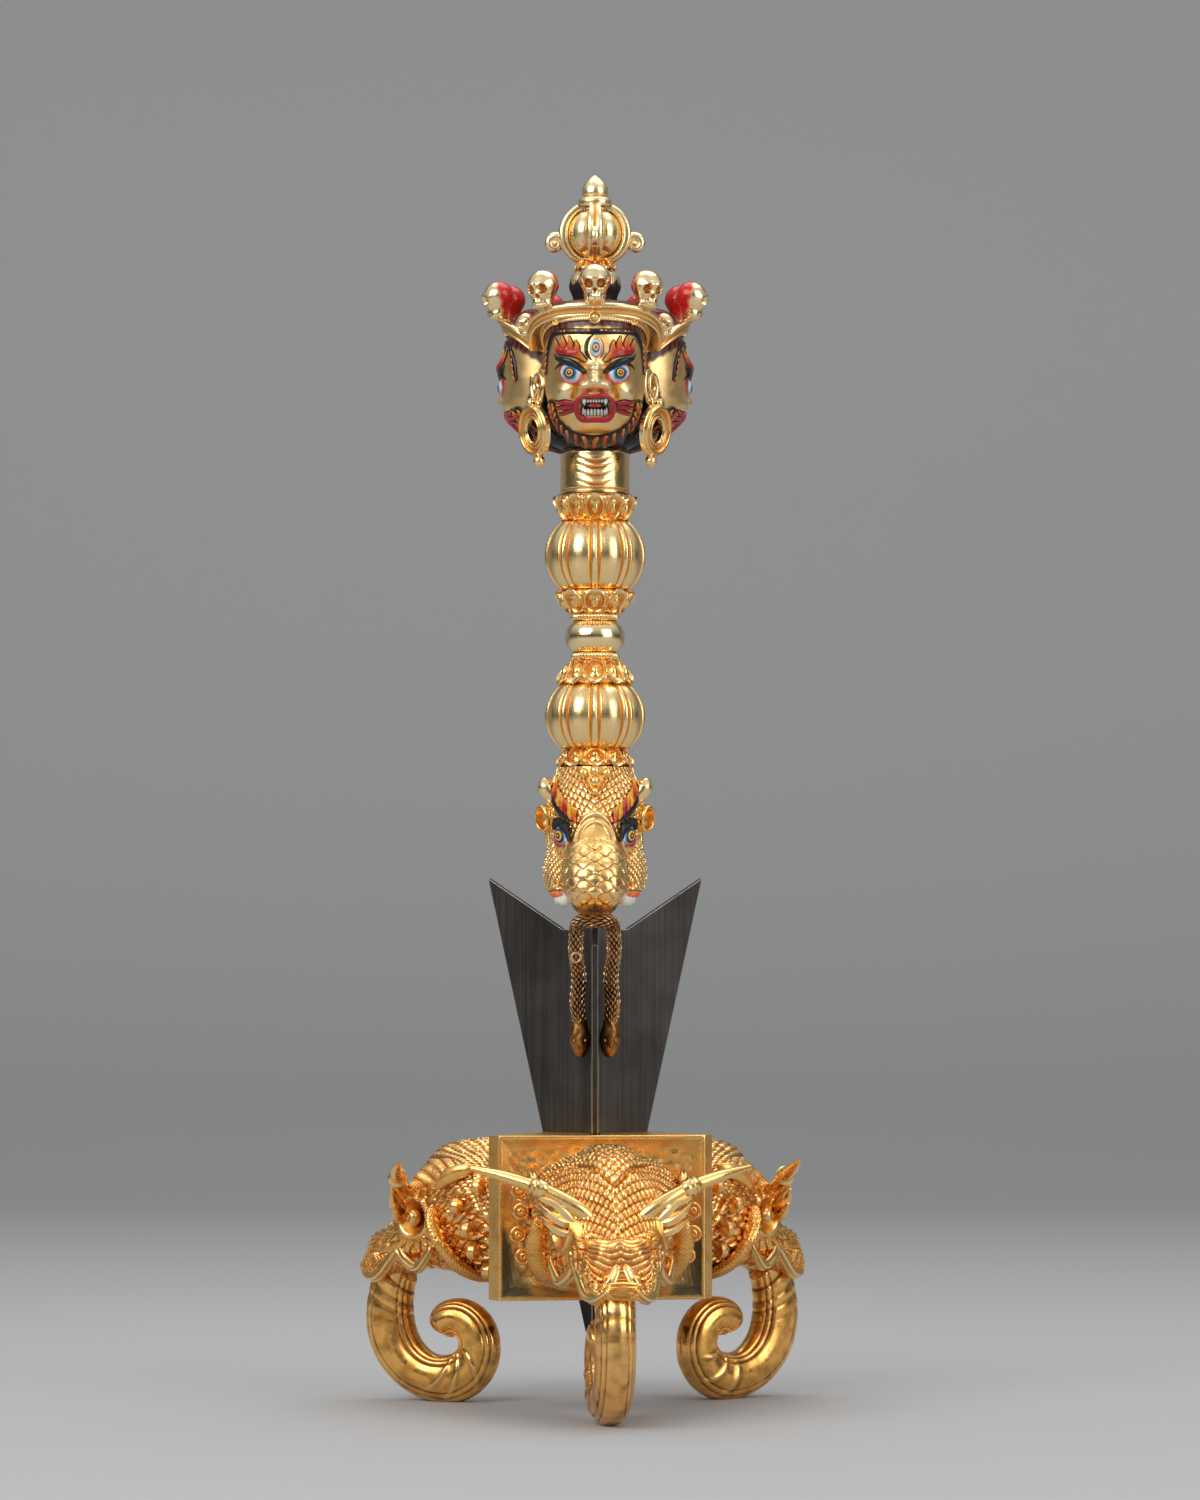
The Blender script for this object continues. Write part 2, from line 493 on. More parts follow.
# Topknot: hair bound up under the finial, with fine combed strands, brown gilding above and black
# lacquer below a border of flame points.
def lacquer_group():
    """Brushed-on lacquer over gilding, by the attribute paint: its colour is the lacquer's and its alpha the
    cover. Clouds thin it a little, as a brush does."""
    group = bpy.data.node_groups.new("lacquer", "ShaderNodeTree")
    for label, kind, way in (("Gilt Color", "NodeSocketColor", "INPUT"), ("Gilt Roughness", "NodeSocketFloat", "INPUT"),
                             ("Sheen Loss", "NodeSocketFloat", "INPUT"),
                             ("Color", "NodeSocketColor", "OUTPUT"), ("Roughness", "NodeSocketFloat", "OUTPUT"),
                             ("Metallic", "NodeSocketFloat", "OUTPUT")):
        group.interface.new_socket(label, in_out=way, socket_type=kind)
    add, link = group.nodes.new, group.links.new
    ins, outs = add("NodeGroupInput"), add("NodeGroupOutput")
    paint = add("ShaderNodeAttribute")
    paint.attribute_name = "paint"
    place = add("ShaderNodeTexCoord")
    brush = add("ShaderNodeTexNoise")
    brush.inputs["Scale"].default_value = 1500
    link(place.outputs["Object"], brush.inputs["Vector"])
    shade = add("ShaderNodeMapRange")
    for slot, value in zip(("From Min", "From Max", "To Min", "To Max"), (0.25, 0.75, 0.72, 1.2)):
        shade.inputs[slot].default_value = value
    link(brush.outputs["Fac"], shade.inputs["Value"])
    tone = add("ShaderNodeVectorMath")
    tone.operation = "SCALE"
    link(paint.outputs["Color"], tone.inputs[0])
    link(shade.outputs["Result"], tone.inputs["Scale"])
    color = add("ShaderNodeMix")
    color.data_type = "RGBA"
    link(paint.outputs["Alpha"], color.inputs["Factor"])
    link(ins.outputs["Gilt Color"], color.inputs[6])
    link(tone.outputs[0], color.inputs[7])
    link(color.outputs[2], outs.inputs["Color"])
    rough = add("ShaderNodeMix")
    link(paint.outputs["Alpha"], rough.inputs["Factor"])
    link(ins.outputs["Gilt Roughness"], rough.inputs[2])
    link(ins.outputs["Sheen Loss"], rough.inputs[3])
    link(rough.outputs[0], outs.inputs["Roughness"])
    bare = add("ShaderNodeMath")
    bare.operation = "SUBTRACT"
    bare.inputs[0].default_value = 1
    link(paint.outputs["Alpha"], bare.inputs[1])
    link(bare.outputs[0], outs.inputs["Metallic"])
    return group


lacquer = lacquer_group()


def painted(finish, sheen_loss=0.3):
    """Adds the lacquer, by the piece's paint attribute, to a gilt finish."""
    tree = finish.node_tree
    shader, gold = tree.nodes["Principled BSDF"], tree.nodes["Group"]
    node = tree.nodes.new("ShaderNodeGroup")
    node.node_tree = lacquer
    node.inputs["Sheen Loss"].default_value = sheen_loss
    tree.links.new(gold.outputs["Color"], node.inputs["Gilt Color"])
    tree.links.new(gold.outputs["Roughness"], node.inputs["Gilt Roughness"])
    for label, socket in (("Color", "Base Color"), ("Roughness", "Roughness"), ("Metallic", "Metallic")):
        tree.links.new(node.outputs[label], shader.inputs[socket])
    return finish


BLACK = (0.008, 0.007, 0.007, 1)
CRIMSON, ORANGE, YELLOW = (0.4, 0.012, 0.012, 1), (0.75, 0.16, 0.012, 1), (0.85, 0.5, 0.03, 1)
BARE = (0.0, 0.0, 0.0, 0.0)


def blend(colours, share):
    """Colours spaced evenly from share 0 to share 1, as an array of the share's shape with four channels."""
    at = np.linspace(0, 1, len(colours))
    return np.stack([np.interp(share, at, [c[i] for c in colours]) for i in range(4)], -1)


low, high = span("topknot")
tall = high[2] - low[2]
profile = spline([(high[0] - 1.2, -2.8), (high[0] - 0.9, 0), (high[0] - 0.1, tall * 0.3), (high[0], tall * 0.5), (high[0] - 0.5, tall * 0.78),
                  (high[0] - 1.5, tall * 0.94), (high[0] - 2.6, tall)], 6)
angle = np.linspace(0, 2 * math.pi, 420, endpoint=False)[None, :]
strands = 0.12 * np.abs(np.sin(30 * angle + 1.2 * np.sin(profile[:, 1:] * 0.9)))
saw = np.abs((angle / (2 * math.pi) * 11) % 1 - 0.5) * 2
border = tall * (0.42 + 0.24 * saw ** 1.6)
black = 1 / (1 + np.exp((profile[:, 1:] - border) / 0.05))
hair_gold = painted(gilt("hair_gilding", (0.42, 0.22, 0.1), (0.2, 0.08, 0.03), (900, 900, 200), 0.3, 0.28, 0.8), 0.32)
tint = np.array(BLACK) * np.array([1, 1, 1, 1]) + 0 * black[..., None]
tint[..., 3] = black
settle(casting("topknot_combed", [turned(profile[:, :1] - strands, low[2] + profile[:, 1], 420)], 0.1, paints=[tint]),
       "dagger", "hair_lacquer", hair_gold, "topknot")


# Blades: three dark steel plates from a common root, blackened, with faint drawn marks and worn bright
# along their chamfers. The front one's edge still holds gold in its lower half.
def eased(node, ease, finish, edge_finish=None):
    """A copy of a flat-sided CAD node with its flats joined and its edges rounded over by ease metres."""
    import bmesh
    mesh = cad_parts[node].data.copy()
    shape = bmesh.new()
    shape.from_mesh(mesh)
    bmesh.ops.remove_doubles(shape, verts=shape.verts, dist=1e-6)
    bmesh.ops.dissolve_limit(shape, angle_limit=math.radians(2), verts=shape.verts, edges=shape.edges)
    bmesh.ops.recalc_face_normals(shape, faces=shape.faces)
    shape.to_mesh(mesh)
    shape.free()
    mesh.materials.clear()
    mesh.materials.append(finish)
    piece = bpy.data.objects.new(node + "_eased", mesh)
    bpy.context.scene.collection.objects.link(piece)
    if edge_finish:
        mesh.materials.append(edge_finish)
    bevel = piece.modifiers.new("ease", "BEVEL")
    bevel.width, bevel.segments = ease, 3
    bevel.limit_method, bevel.angle_limit = "ANGLE", math.radians(25)
    bevel.material = 1 if edge_finish else -1
    bevel.harden_normals = True
    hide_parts(node)
    return piece


def blackened(name, dark, light, drawn, rough, gold_from=None):
    """Blackened steel with drawn marks, and gold left where the height is under gold_from metres."""
    finish = bpy.data.materials.new(name)
    finish.use_nodes = True
    tree = finish.node_tree
    add, link = tree.nodes.new, tree.links.new
    shader = tree.nodes["Principled BSDF"]
    place, spread, marks = add("ShaderNodeTexCoord"), add("ShaderNodeMapping"), add("ShaderNodeTexNoise")
    spread.inputs["Scale"].default_value = drawn
    marks.inputs["Scale"].default_value, marks.inputs["Detail"].default_value = 1, 6
    link(place.outputs["Object"], spread.inputs["Vector"])
    link(spread.outputs["Vector"], marks.inputs["Vector"])
    clouds = add("ShaderNodeTexNoise")
    clouds.inputs["Scale"].default_value, clouds.inputs["Detail"].default_value = 70, 4
    link(place.outputs["Object"], clouds.inputs["Vector"])
    both = add("ShaderNodeMath")
    both.operation = "MULTIPLY"
    link(marks.outputs["Fac"], both.inputs[0])
    link(clouds.outputs["Fac"], both.inputs[1])
    tone = add("ShaderNodeValToRGB")
    tone.color_ramp.elements[0].position, tone.color_ramp.elements[1].position = 0.12, 0.42
    tone.color_ramp.elements[0].color, tone.color_ramp.elements[1].color = (*dark, 1), (*light, 1)
    link(both.outputs[0], tone.inputs["Fac"])
    source = tone.outputs["Color"]
    if gold_from:
        axes, fade, worn = add("ShaderNodeSeparateXYZ"), add("ShaderNodeMapRange"), add("ShaderNodeMix")
        link(place.outputs["Object"], axes.inputs[0])
        link(axes.outputs["Z"], fade.inputs["Value"])
        for slot, value in zip(("From Min", "From Max"), (gold_from, gold_from - 0.02)):
            fade.inputs[slot].default_value = value
        patch = add("ShaderNodeMath")
        patch.operation = "MULTIPLY"
        link(fade.outputs["Result"], patch.inputs[0])
        link(clouds.outputs["Fac"], patch.inputs[1])
        worn.data_type = "RGBA"
        worn.inputs[7].default_value = (0.75, 0.55, 0.16, 1)
        link(patch.outputs[0], worn.inputs["Factor"])
        link(source, worn.inputs[6])
        source = worn.outputs[2]
    link(source, shader.inputs["Base Color"])
    gloss, bump = add("ShaderNodeMapRange"), add("ShaderNodeBump")
    for slot, value in zip(("To Min", "To Max"), (rough - 0.1, rough + 0.12)):
        gloss.inputs[slot].default_value = value
    link(marks.outputs["Fac"], gloss.inputs["Value"])
    link(gloss.outputs["Result"], shader.inputs["Roughness"])
    bump.inputs["Strength"].default_value, bump.inputs["Distance"].default_value = 0.15, 0.00005
    link(marks.outputs["Fac"], bump.inputs["Height"])
    link(bump.outputs["Normal"], shader.inputs["Normal"])
    shader.inputs["Metallic"].default_value = 0.85
    return finish


steel = blackened("blackened_steel", (0.035, 0.031, 0.028), (0.085, 0.076, 0.068), (1500, 1500, 18), 0.42)
bright_edge = blackened("worn_steel_edge", (0.16, 0.14, 0.11), (0.34, 0.3, 0.24), (900, 900, 60), 0.3)
front_edge = blackened("gold_worn_edge", (0.2, 0.17, 0.11), (0.36, 0.31, 0.2), (900, 900, 60), 0.3, 0.082)
for node, edge in (("blade_front", front_edge), ("blade_right", bright_edge), ("blade_left", bright_edge)):
    blade = eased(node, 0.00022, steel, edge)
    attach(blade, "dagger")

# Head: one casting with three faces, gilt, with the hair, the mouths and the jaw's underside in lacquer.
# It is threaded on the rod over the neck.
HEAD_LINE = np.array([
    [0, 0.2, 0.5], [0.03, 0.46, 0.56], [0.09, 0.66, 0.66], [0.17, 0.82, 0.79], [0.27, 0.94, 0.9], [0.38, 1, 0.96],
    [0.5, 1, 1], [0.62, 1, 1], [0.74, 0.97, 0.985], [0.84, 0.91, 0.96], [0.9, 0.83, 0.92], [0.945, 0.64, 0.8],
    [0.98, 0.34, 0.64], [1, 0.1, 0.5]])
low, high = span("head")
HEAD_Z, HEAD_H, FACE_OUT, FACE_R = low[2], high[2] - low[2], 12.0, 12.8


def swell(s, z, s0, z0, ws, wz):
    """A round swelling at (s0, z0), of widths ws and wz."""
    return np.exp(-((s - s0) / ws) ** 2 - ((z - z0) / wz) ** 2)


def off_face(angle):
    """Degrees from the nearest face's middle, -60 to 60."""
    return (np.asarray(angle, float) + 90 + 60) % 120 - 60


def carving(s, z, open_mouth):
    """Relief of one face, s along the skin from its middle and z up from the beard, both in millimetres."""
    m = np.abs(s)
    relief = (3.5 * swell(m, z, 0, 16.9, 2.3, 1.9) + 2.1 * swell(m, z, 3.0, 16.0, 1.35, 1.3)
              + 1.7 * swell(m, z, 0, 20.2, 1.6, 2.8) + 1.5 * swell(m, z, 6.4, 24.4, 4.4, 2.0)
              + 1.1 * swell(m, z, 6.3, 19.5, 2.6, 1.9) + 1.5 * swell(m, z, 8.6, 14.6, 2.9, 2.4)
              + 2.0 * swell(m, z, 0, 10.6, 5.4, 4.0) + 1.6 * swell(m, z, 0, 4.7, 4.3, 1.3)
              + 0.5 * swell(m, z, 0, 26.0, 1.5, 2.4) - 0.8 * swell(m, z, 4.6, 16.0, 0.7, 1.6)
              - 0.7 * swell(m, z, 5.6, 13.4, 0.6, 1.6) - 0.5 * swell(m, z, 3.4, 22.4, 0.8, 1.2)
              - 0.9 * swell(m, z, 1.3, 14.7, 0.6, 0.4) - 0.7 * swell(m, z, 0, 3.0, 5, 0.4))
    for k in range(3):
        arc = z - 19.2 - 1.15 * k - 0.1 * s ** 2
        relief = relief + 0.4 * np.exp(-(arc / 0.3) ** 2 - (s / (2.2 - 0.25 * k)) ** 2)
    if open_mouth:
        box = 1 / (1 + np.exp((m - 3.5) / 0.14)) / (1 + np.exp((np.abs(z - 10.3) - 2.5) / 0.14))
        relief = relief - 2.4 * box
    return relief


def head_r(angle, z, open_mouth=True):
    """Distance of the head's skin from the axis at an angle in degrees and a height over the beard."""
    u = np.clip(np.asarray(z, float) / HEAD_H, 0, 1)
    w = np.radians(off_face(angle))
    c = np.interp(u, HEAD_LINE[:, 0], HEAD_LINE[:, 1]) * FACE_OUT
    r = np.interp(u, HEAD_LINE[:, 0], HEAD_LINE[:, 2]) * FACE_R
    fade = 1 - (np.abs(w) / math.radians(60)) ** 4
    return (c * np.cos(w) + np.sqrt(np.clip(r ** 2 - (c * np.sin(w)) ** 2, 0, None))
            + carving(w * (c + r), z, open_mouth) * fade)


def chin_up(z):
    """Heights over the beard with the chin drawn up to its place, 3.2 mm at the lowest point and less above."""
    z = np.asarray(z, float)
    return z + 3.2 * np.exp(-(z / 10) ** 2)


def blot(inside, edge=0.12):
    """Cover of a lacquered patch from the distance inside its border, in millimetres."""
    return 1 / (1 + np.exp(-inside / edge))


share = np.linspace(0, 1, 144)
share = 0.5 * share + 0.25 * (1 - np.cos(np.pi * share))
angle = np.linspace(0, 360, 324, endpoint=False)
z = share[:, None] * HEAD_H
w = np.radians(off_face(angle))[None, :]
s = w * 24.8
radius = head_r(angle[None, :], z)
m = np.abs(s)
mouth = blot(3.6 - m) * blot(2.6 - np.abs(z - 10.3))
under = blot(0.4 + 0.055 * m ** 1.9 - z + 0.35 * np.sin(3 * s), 0.15)
hair = blot(z - 31.3 + 0.012 * m ** 2 - 0.2 * np.sin(2.3 * s), 0.15)
side_hair = blot(m - 15.5, 0.3) * blot(11 - z, 0.4)
strand = np.abs(np.sin(1.6 * s + 0.6 * np.sin(z)))
cover = np.clip(mouth + under + hair + side_hair, 0, 1)
tint = blend([BLACK, BLACK, (0.25, 0.03, 0.01, 1)], hair * strand)
tint[..., 3] = cover
face_gold = painted(gilt("face_gilding", (1.0, 0.66, 0.27), (0.66, 0.27, 0.04), (500, 500, 500), 0.3, 0.3, 0.45), 0.3)
level = chin_up(np.minimum(z[:, 0], 38.6 + 0.35 * (z[:, 0] - 38.6)))
settle(casting("head_skin", [turned(radius, HEAD_Z + level, 324)], 0.37, 2, paints=[tint]),
       "dagger", "painted_gold", face_gold, "head")


# Painted features of each face: thick lacquer strokes that stand a little proud of the gilding. They are
# flames for brows, moustache and beard, heavy black lids, red lips, and bulging ringed eyes.
def skin_point(s, z, lift, open_mouth=False):
    """Point of the front face at s along its skin and z over its beard, lifted along the skin's normal."""
    def at(s, z):
        """The skin itself: s turns into an angle about the axis by the skin's own radius there."""
        u = np.clip(z / HEAD_H, 0, 1)
        reach = (np.interp(u, HEAD_LINE[:, 0], HEAD_LINE[:, 1]) * FACE_OUT
                 + np.interp(u, HEAD_LINE[:, 0], HEAD_LINE[:, 2]) * FACE_R)
        w = s / reach
        r = head_r(np.degrees(w) - 90, z, open_mouth)
        return np.stack([r * np.sin(w), -r * np.cos(w), HEAD_Z + chin_up(z)], -1)
    normal = np.cross(at(s + 0.15, z) - at(s - 0.15, z), at(s, z + 0.15) - at(s, z - 0.15))
    normal /= np.linalg.norm(normal, axis=-1, keepdims=True) + 1e-9
    return at(s, z) + normal * np.asarray(lift)[..., None]


def stroke(knots, lift=0.35, grow=0.0, looped=False, steps=5, sides=10, base=0.0):
    """Rings of a brush stroke on the face, along knots of (s, z, half width): a rounded back, flat under."""
    if looped:
        knots = list(knots[-2:]) + list(knots) + list(knots[:2])
    path = spline(knots, steps)
    if looped:
        path = path[2 * steps:-2 * steps + steps - 1]
    ends = np.array([path[-1], path[0]]) if looped else None
    along = np.gradient(np.vstack([ends[:1], path, ends[1:]]), axis=0)[1:-1] if looped else np.gradient(path, axis=0)
    along = along[:, :2] / (np.linalg.norm(along[:, :2], axis=1, keepdims=True) + 1e-9)
    way = np.linspace(0, 2 * math.pi, sides, endpoint=False)[None, :]
    half = (path[:, 2:3] + grow)
    s = path[:, :1] - along[:, 1:] * half * np.cos(way)
    z = path[:, 1:2] + along[:, :1] * half * np.cos(way)
    top = np.sin(way)
    raised = np.where(top > 0, lift * np.sqrt(np.clip(top, 0, 1)) * np.clip(half / 0.5, 0.35, 1), 0.3 * top)
    return skin_point(s, z, base + raised)


def mirrored(rings):
    """The same rings on the other side of the face's middle plane."""
    return rings * np.array([-1, 1, 1])


def disc_eye(s0, z0, wide, up, down, slant, iris, bulge):
    """Rings of an eyeball with an almond outline, and the distance of each point from the iris's middle."""
    q = np.concatenate([np.linspace(0.01, 1, 34), [1, 0.4]])[:, None]
    way = np.linspace(0, 2 * math.pi, 56, endpoint=False)[None, :]
    x = q * wide * np.cos(way) * (1 - 0.0 * q)
    y = q * np.sin(way) * np.where(np.sin(way) > 0, up, down) * (0.8 + 0.2 * np.abs(np.sin(way)))
    back = np.concatenate([np.zeros(34), [1, 1]])[:, None]
    lift = np.where(back > 0, -0.3, 0.12 + bulge * (1 - q ** 2)) + 0 * x
    side = np.sign(s0) if s0 else 1
    rings = skin_point(s0 + x, z0 + y + slant * x * side, lift)
    return rings, np.hypot(x, (y + slant * x * side) * (iris if iris > 0 else 1))


strokes, tints = [], []


def lay(rings, colours, along=None):
    """Puts a stroke on all three faces, with its colours spaced along its rings."""
    share = np.linspace(0, 1, len(rings))[:, None] if along is None else along
    tint = blend(colours if isinstance(colours, list) else [colours, colours], share)
    for k in range(3):
        strokes.append(on_axis(rings, 120 * k))
        tints.append(np.broadcast_to(tint, rings.shape[:2] + (4,)))


def both(knots, colours, lift=0.35, outline=0.0, base=0.0, steps=5):
    """A stroke and its mirror image, with a black outline under it where outline is its width."""
    for flip in (1, -1):
        turned_knots = [(flip * k[0], k[1], k[2]) for k in knots]
        if outline:
            lay(stroke(turned_knots, lift * 0.6, outline, base=base, steps=steps), BLACK)
        lay(stroke(turned_knots, lift, 0, base=base + (0.1 if outline else 0), steps=steps), colours)


RED, DARK_RED, PINK = (0.42, 0.014, 0.02, 1), (0.22, 0.008, 0.01, 1), (0.72, 0.2, 0.2, 1)
WHITE, SKY, BLUE, GOLDEN = (0.75, 0.75, 0.72, 1), (0.3, 0.55, 0.75, 1), (0.03, 0.22, 0.55, 1), (0.8, 0.42, 0.05, 1)
both([(2.0, 22.5, 0.22), (3.5, 23.7, 0.7), (5.3, 24.8, 1.15), (7.5, 25.4, 1.3), (9.5, 25.8, 1.0), (10.7, 26.8, 0.2)],
     [YELLOW, ORANGE, CRIMSON, CRIMSON, CRIMSON, ORANGE], 0.5, 0.3)
for tip in ([(4.5, 24.5, 0.85), (4.4, 26.2, 0.6), (4.9, 28.0, 0.1)], [(6.2, 25.2, 1.0), (6.2, 27.2, 0.7), (6.7, 29.2, 0.1)],
            [(8.0, 25.6, 1.0), (8.3, 27.6, 0.7), (8.9, 29.5, 0.1)], [(9.7, 25.6, 0.9), (10.5, 27.2, 0.55), (11.2, 28.8, 0.1)]):
    both(tip, [CRIMSON, ORANGE, YELLOW], 0.5, 0.28)
both([(6.9, 25.2, 0.7), (6.6, 26.2, 0.3), (6.9, 27.0, 0.06)], [ORANGE, YELLOW], 0.62)
both([(8.5, 25.4, 0.6), (8.6, 26.4, 0.3), (9.0, 27.4, 0.06)], [ORANGE, YELLOW], 0.62)
both([(2.1, 19.6, 0.4), (3.7, 20.8, 0.85), (6.1, 22.2, 1.0), (8.6, 23.1, 0.8), (10.4, 24.0, 0.35), (11.2, 24.9, 0.08)],
     BLACK, 0.75)
both([(8.6, 22.3, 0.5), (10.2, 21.7, 0.3), (11.3, 21.0, 0.06)], BLACK, 0.5)
for flip in (-1, 1):
    ball, far = disc_eye(flip * 6.1, 19.7, 3.5, 1.95, 2.1, 0.28, 1.0, 0.6)
    rings = [(0.0, GOLDEN), (0.16, GOLDEN), (0.2, BLACK), (0.44, BLACK), (0.5, GOLDEN), (0.76, GOLDEN), (0.82, BLACK),
             (1.12, BLACK), (1.2, BLUE), (1.5, BLUE), (1.62, SKY), (2.1, WHITE), (2.5, WHITE), (2.8, PINK), (3.3, RED)]
    for k in range(3):
        strokes.append(on_axis(ball, 120 * k))
        tints.append(np.stack([np.interp(far, [r[0] for r in rings], [r[1][i] for r in rings]) for i in range(4)], -1))
both([(2.7, 18.9, 0.14), (4.0, 17.6, 0.34), (6.1, 17.3, 0.42), (8.2, 18.4, 0.34), (9.7, 20.9, 0.14)], [RED, PINK, RED], 0.45)
ball, far = disc_eye(0.2, 25.8, 1.45, 2.3, 2.3, 0.0, 0.63, 0.55)
rings = [(0.0, BLACK), (0.16, BLACK), (0.2, GOLDEN), (0.5, GOLDEN), (0.56, BLACK), (0.66, BLACK), (0.72, BLUE), (0.95, SKY),
         (1.12, WHITE), (1.25, WHITE), (1.35, RED), (1.8, RED)]
for k in range(3):
    strokes.append(on_axis(ball, 120 * k))
    tints.append(np.stack([np.interp(far, [r[0] for r in rings], [r[1][i] for r in rings]) for i in range(4)], -1))
lay(stroke([(-0.6, 22.6, 0.12), (-1.8, 24.0, 0.42), (-2.15, 26.0, 0.5), (-1.6, 28.0, 0.42), (-0.3, 29.3, 0.1)], 0.7), BLACK)
lay(stroke([(-1.7, 25.0, 0.06), (-2.0, 26.5, 0.18), (-1.4, 28.0, 0.18), (-0.8, 28.5, 0.06)], 0.55), WHITE)
lay(stroke([(1.1, 23.0, 0.06), (1.95, 24.7, 0.18), (2.05, 26.8, 0.18), (1.4, 28.3, 0.06)], 0.4), RED)

lips = [(-4.5, 10.6, 0.62), (-3.7, 12.7, 0.62), (-2.1, 13.55, 0.66), (-0.2, 13.1, 0.62), (1.9, 13.6, 0.66), (3.6, 12.8, 0.62),
        (4.4, 10.7, 0.62), (3.9, 8.0, 0.66), (2.2, 6.6, 0.72), (-0.2, 6.4, 0.75), (-2.6, 6.65, 0.72), (-4.0, 8.1, 0.66)]
path = stroke(lips, 0.85, 0, True, 6, 14)
for k in range(3):
    strokes.append((on_axis(path, 120 * k), True))
    tints.append(np.broadcast_to(np.array(RED), path.shape[:2] + (4,)))
for k in range(6):
    lay(stroke([(-1.9 + 0.76 * k, 12.5, 0.3), (-1.9 + 0.76 * k, 11.9, 0.3), (-1.9 + 0.76 * k, 11.4, 0.2)], 0.5, base=-0.9), WHITE)
for k in range(7):
    x = -2.55 + 0.85 * k
    lay(stroke([(x, 7.3, 0.36), (x, 8.1, 0.36), (x, 8.75, 0.24)], 0.5, base=-0.75), WHITE)
both([(2.75, 12.6, 0.5), (2.7, 11.6, 0.42), (2.6, 10.4, 0.08)], WHITE, 0.6, base=-0.6)
both([(3.0, 7.8, 0.35), (3.0, 8.8, 0.3), (2.9, 9.6, 0.06)], WHITE, 0.5, base=-0.6)
lay(stroke([(-1.6, 9.7, 0.15), (-0.8, 9.9, 0.5), (0.7, 9.9, 0.5), (1.5, 9.7, 0.15)], 0.5, base=-1.1), [ORANGE, CRIMSON, ORANGE])
for tip in ([(5.1, 11.3, 0.6), (7.4, 12.0, 0.62), (9.6, 12.1, 0.45), (11.6, 12.8, 0.08)],
            [(5.1, 10.6, 0.6), (7.6, 10.7, 0.62), (9.8, 10.6, 0.42), (11.3, 11.0, 0.08)],
            [(5.0, 9.8, 0.55), (7.2, 9.3, 0.6), (9.2, 8.9, 0.4), (10.4, 9.3, 0.08)]):
    both(tip, [DARK_RED, RED, CRIMSON, ORANGE], 0.42, 0.26)

jaw = [(-13.0, 11.6, 0.8), (-12.7, 10.2, 1.1), (-11.8, 7.0, 1.25), (-8.8, 3.6, 1.35), (-4.2, 1.6, 1.4), (0, 1.0, 1.4), (4.2, 1.8, 1.4),
       (8.9, 4.1, 1.35), (11.8, 7.3, 1.25), (12.7, 10.4, 1.1), (13.0, 11.8, 0.8)]
lay(stroke(jaw, 0.7, steps=12, sides=16), BLACK)
curve = spline(jaw, 12)
for k in range(17):
    at = int(4 + k * (len(curve) - 9) / 16)
    s0, z0 = curve[at, :2]
    t = curve[at + 2, :2] - curve[at - 2, :2]
    t = t / np.linalg.norm(t)
    n = np.array([-t[1], t[0]])
    side = -1 if s0 < 0 else 1
    shape = [(-0.95, 0.95, 0.14), (-0.4, 0.85, 0.42), (0.15, 0.15, 0.52), (0.2, -0.6, 0.44), (0.95, -1.05, 0.12)]
    curl = [(s0 + side * -a * t[0] + b * n[0], z0 + side * -a * t[1] + b * n[1], h) for a, b, h in shape]
    lay(stroke(curl, 0.4, base=0.55), [YELLOW, ORANGE, CRIMSON, RED] if k % 3 else [ORANGE, CRIMSON, DARK_RED])
    rope = [(s0 + side * -(a - 0.75) * t[0] + b * n[0], z0 + side * -(a - 0.75) * t[1] + b * n[1], 0.3) for a, b, h in shape]
    lay(stroke(rope, 0.4, base=0.5), BLACK)

lay(stroke([(-13.6, 28.0, 0.7), (-12.2, 29.8, 0.8), (-9.5, 30.4, 0.85), (-5, 30.2, 0.8), (0, 30.0, 0.8), (5, 30.2, 0.8),
            (9.5, 30.4, 0.85), (12.2, 29.8, 0.8), (13.6, 28.0, 0.7)], 0.45, steps=9), BLACK)
for k in range(9):
    x = 1.6 + 1.05 * k
    z0 = 30.15 + 0.02 * k
    both([(x - 0.45, z0 - 0.15, 0.1), (x, z0 + 0.1, 0.26), (x + 0.55, z0 - 0.05, 0.08)], (YELLOW, ORANGE, CRIMSON)[k % 3], 0.4, base=0.3)
both([(13.5, 28.4, 0.6), (14.9, 26.2, 0.85), (15.8, 23.4, 0.9), (16.2, 20.4, 0.7)], BLACK, 0.5)
for k in range(5):
    both([(14.1 + 0.35 * k, 28.0 - 1.6 * k, 0.1), (14.6 + 0.33 * k, 27.3 - 1.6 * k, 0.32), (14.6 + 0.35 * k, 26.5 - 1.6 * k, 0.1)],
         [YELLOW, ORANGE, CRIMSON], 0.4, base=0.35)
both([(12.9, 12.4, 0.5), (13.8, 13.0, 0.7), (15.2, 12.0, 0.9), (16.0, 9.0, 1.2), (15.2, 5.6, 1.2), (12.5, 3.4, 0.9)], BLACK, 0.6)
for k in range(5):
    s0, z0 = 14.0 + 0.5 * k - 0.22 * k * k, 11.8 - 1.6 * k
    both([(s0 - 0.3, z0 + 0.8, 0.1), (s0 + 0.3, z0 + 0.2, 0.4), (s0 - 0.1, z0 - 0.6, 0.34), (s0 + 0.5, z0 - 1.1, 0.08)],
         [YELLOW, ORANGE, CRIMSON], 0.4, base=0.5)
enamel = painted(gilt("face_lacquer", PALE_GOLD, DEEP_GOLD, (1500, 1500, 1500), 0.4, 0.25, 0.3), 0.26)
half_way = len(strokes) // 2
for name, part in (("face_paint_upper", slice(0, half_way)), ("face_paint_lower", slice(half_way, None))):
    settle(casting(name, strokes[part], 0.1, 1, 60, tints[part]), "dagger", "painted_gold", enamel)

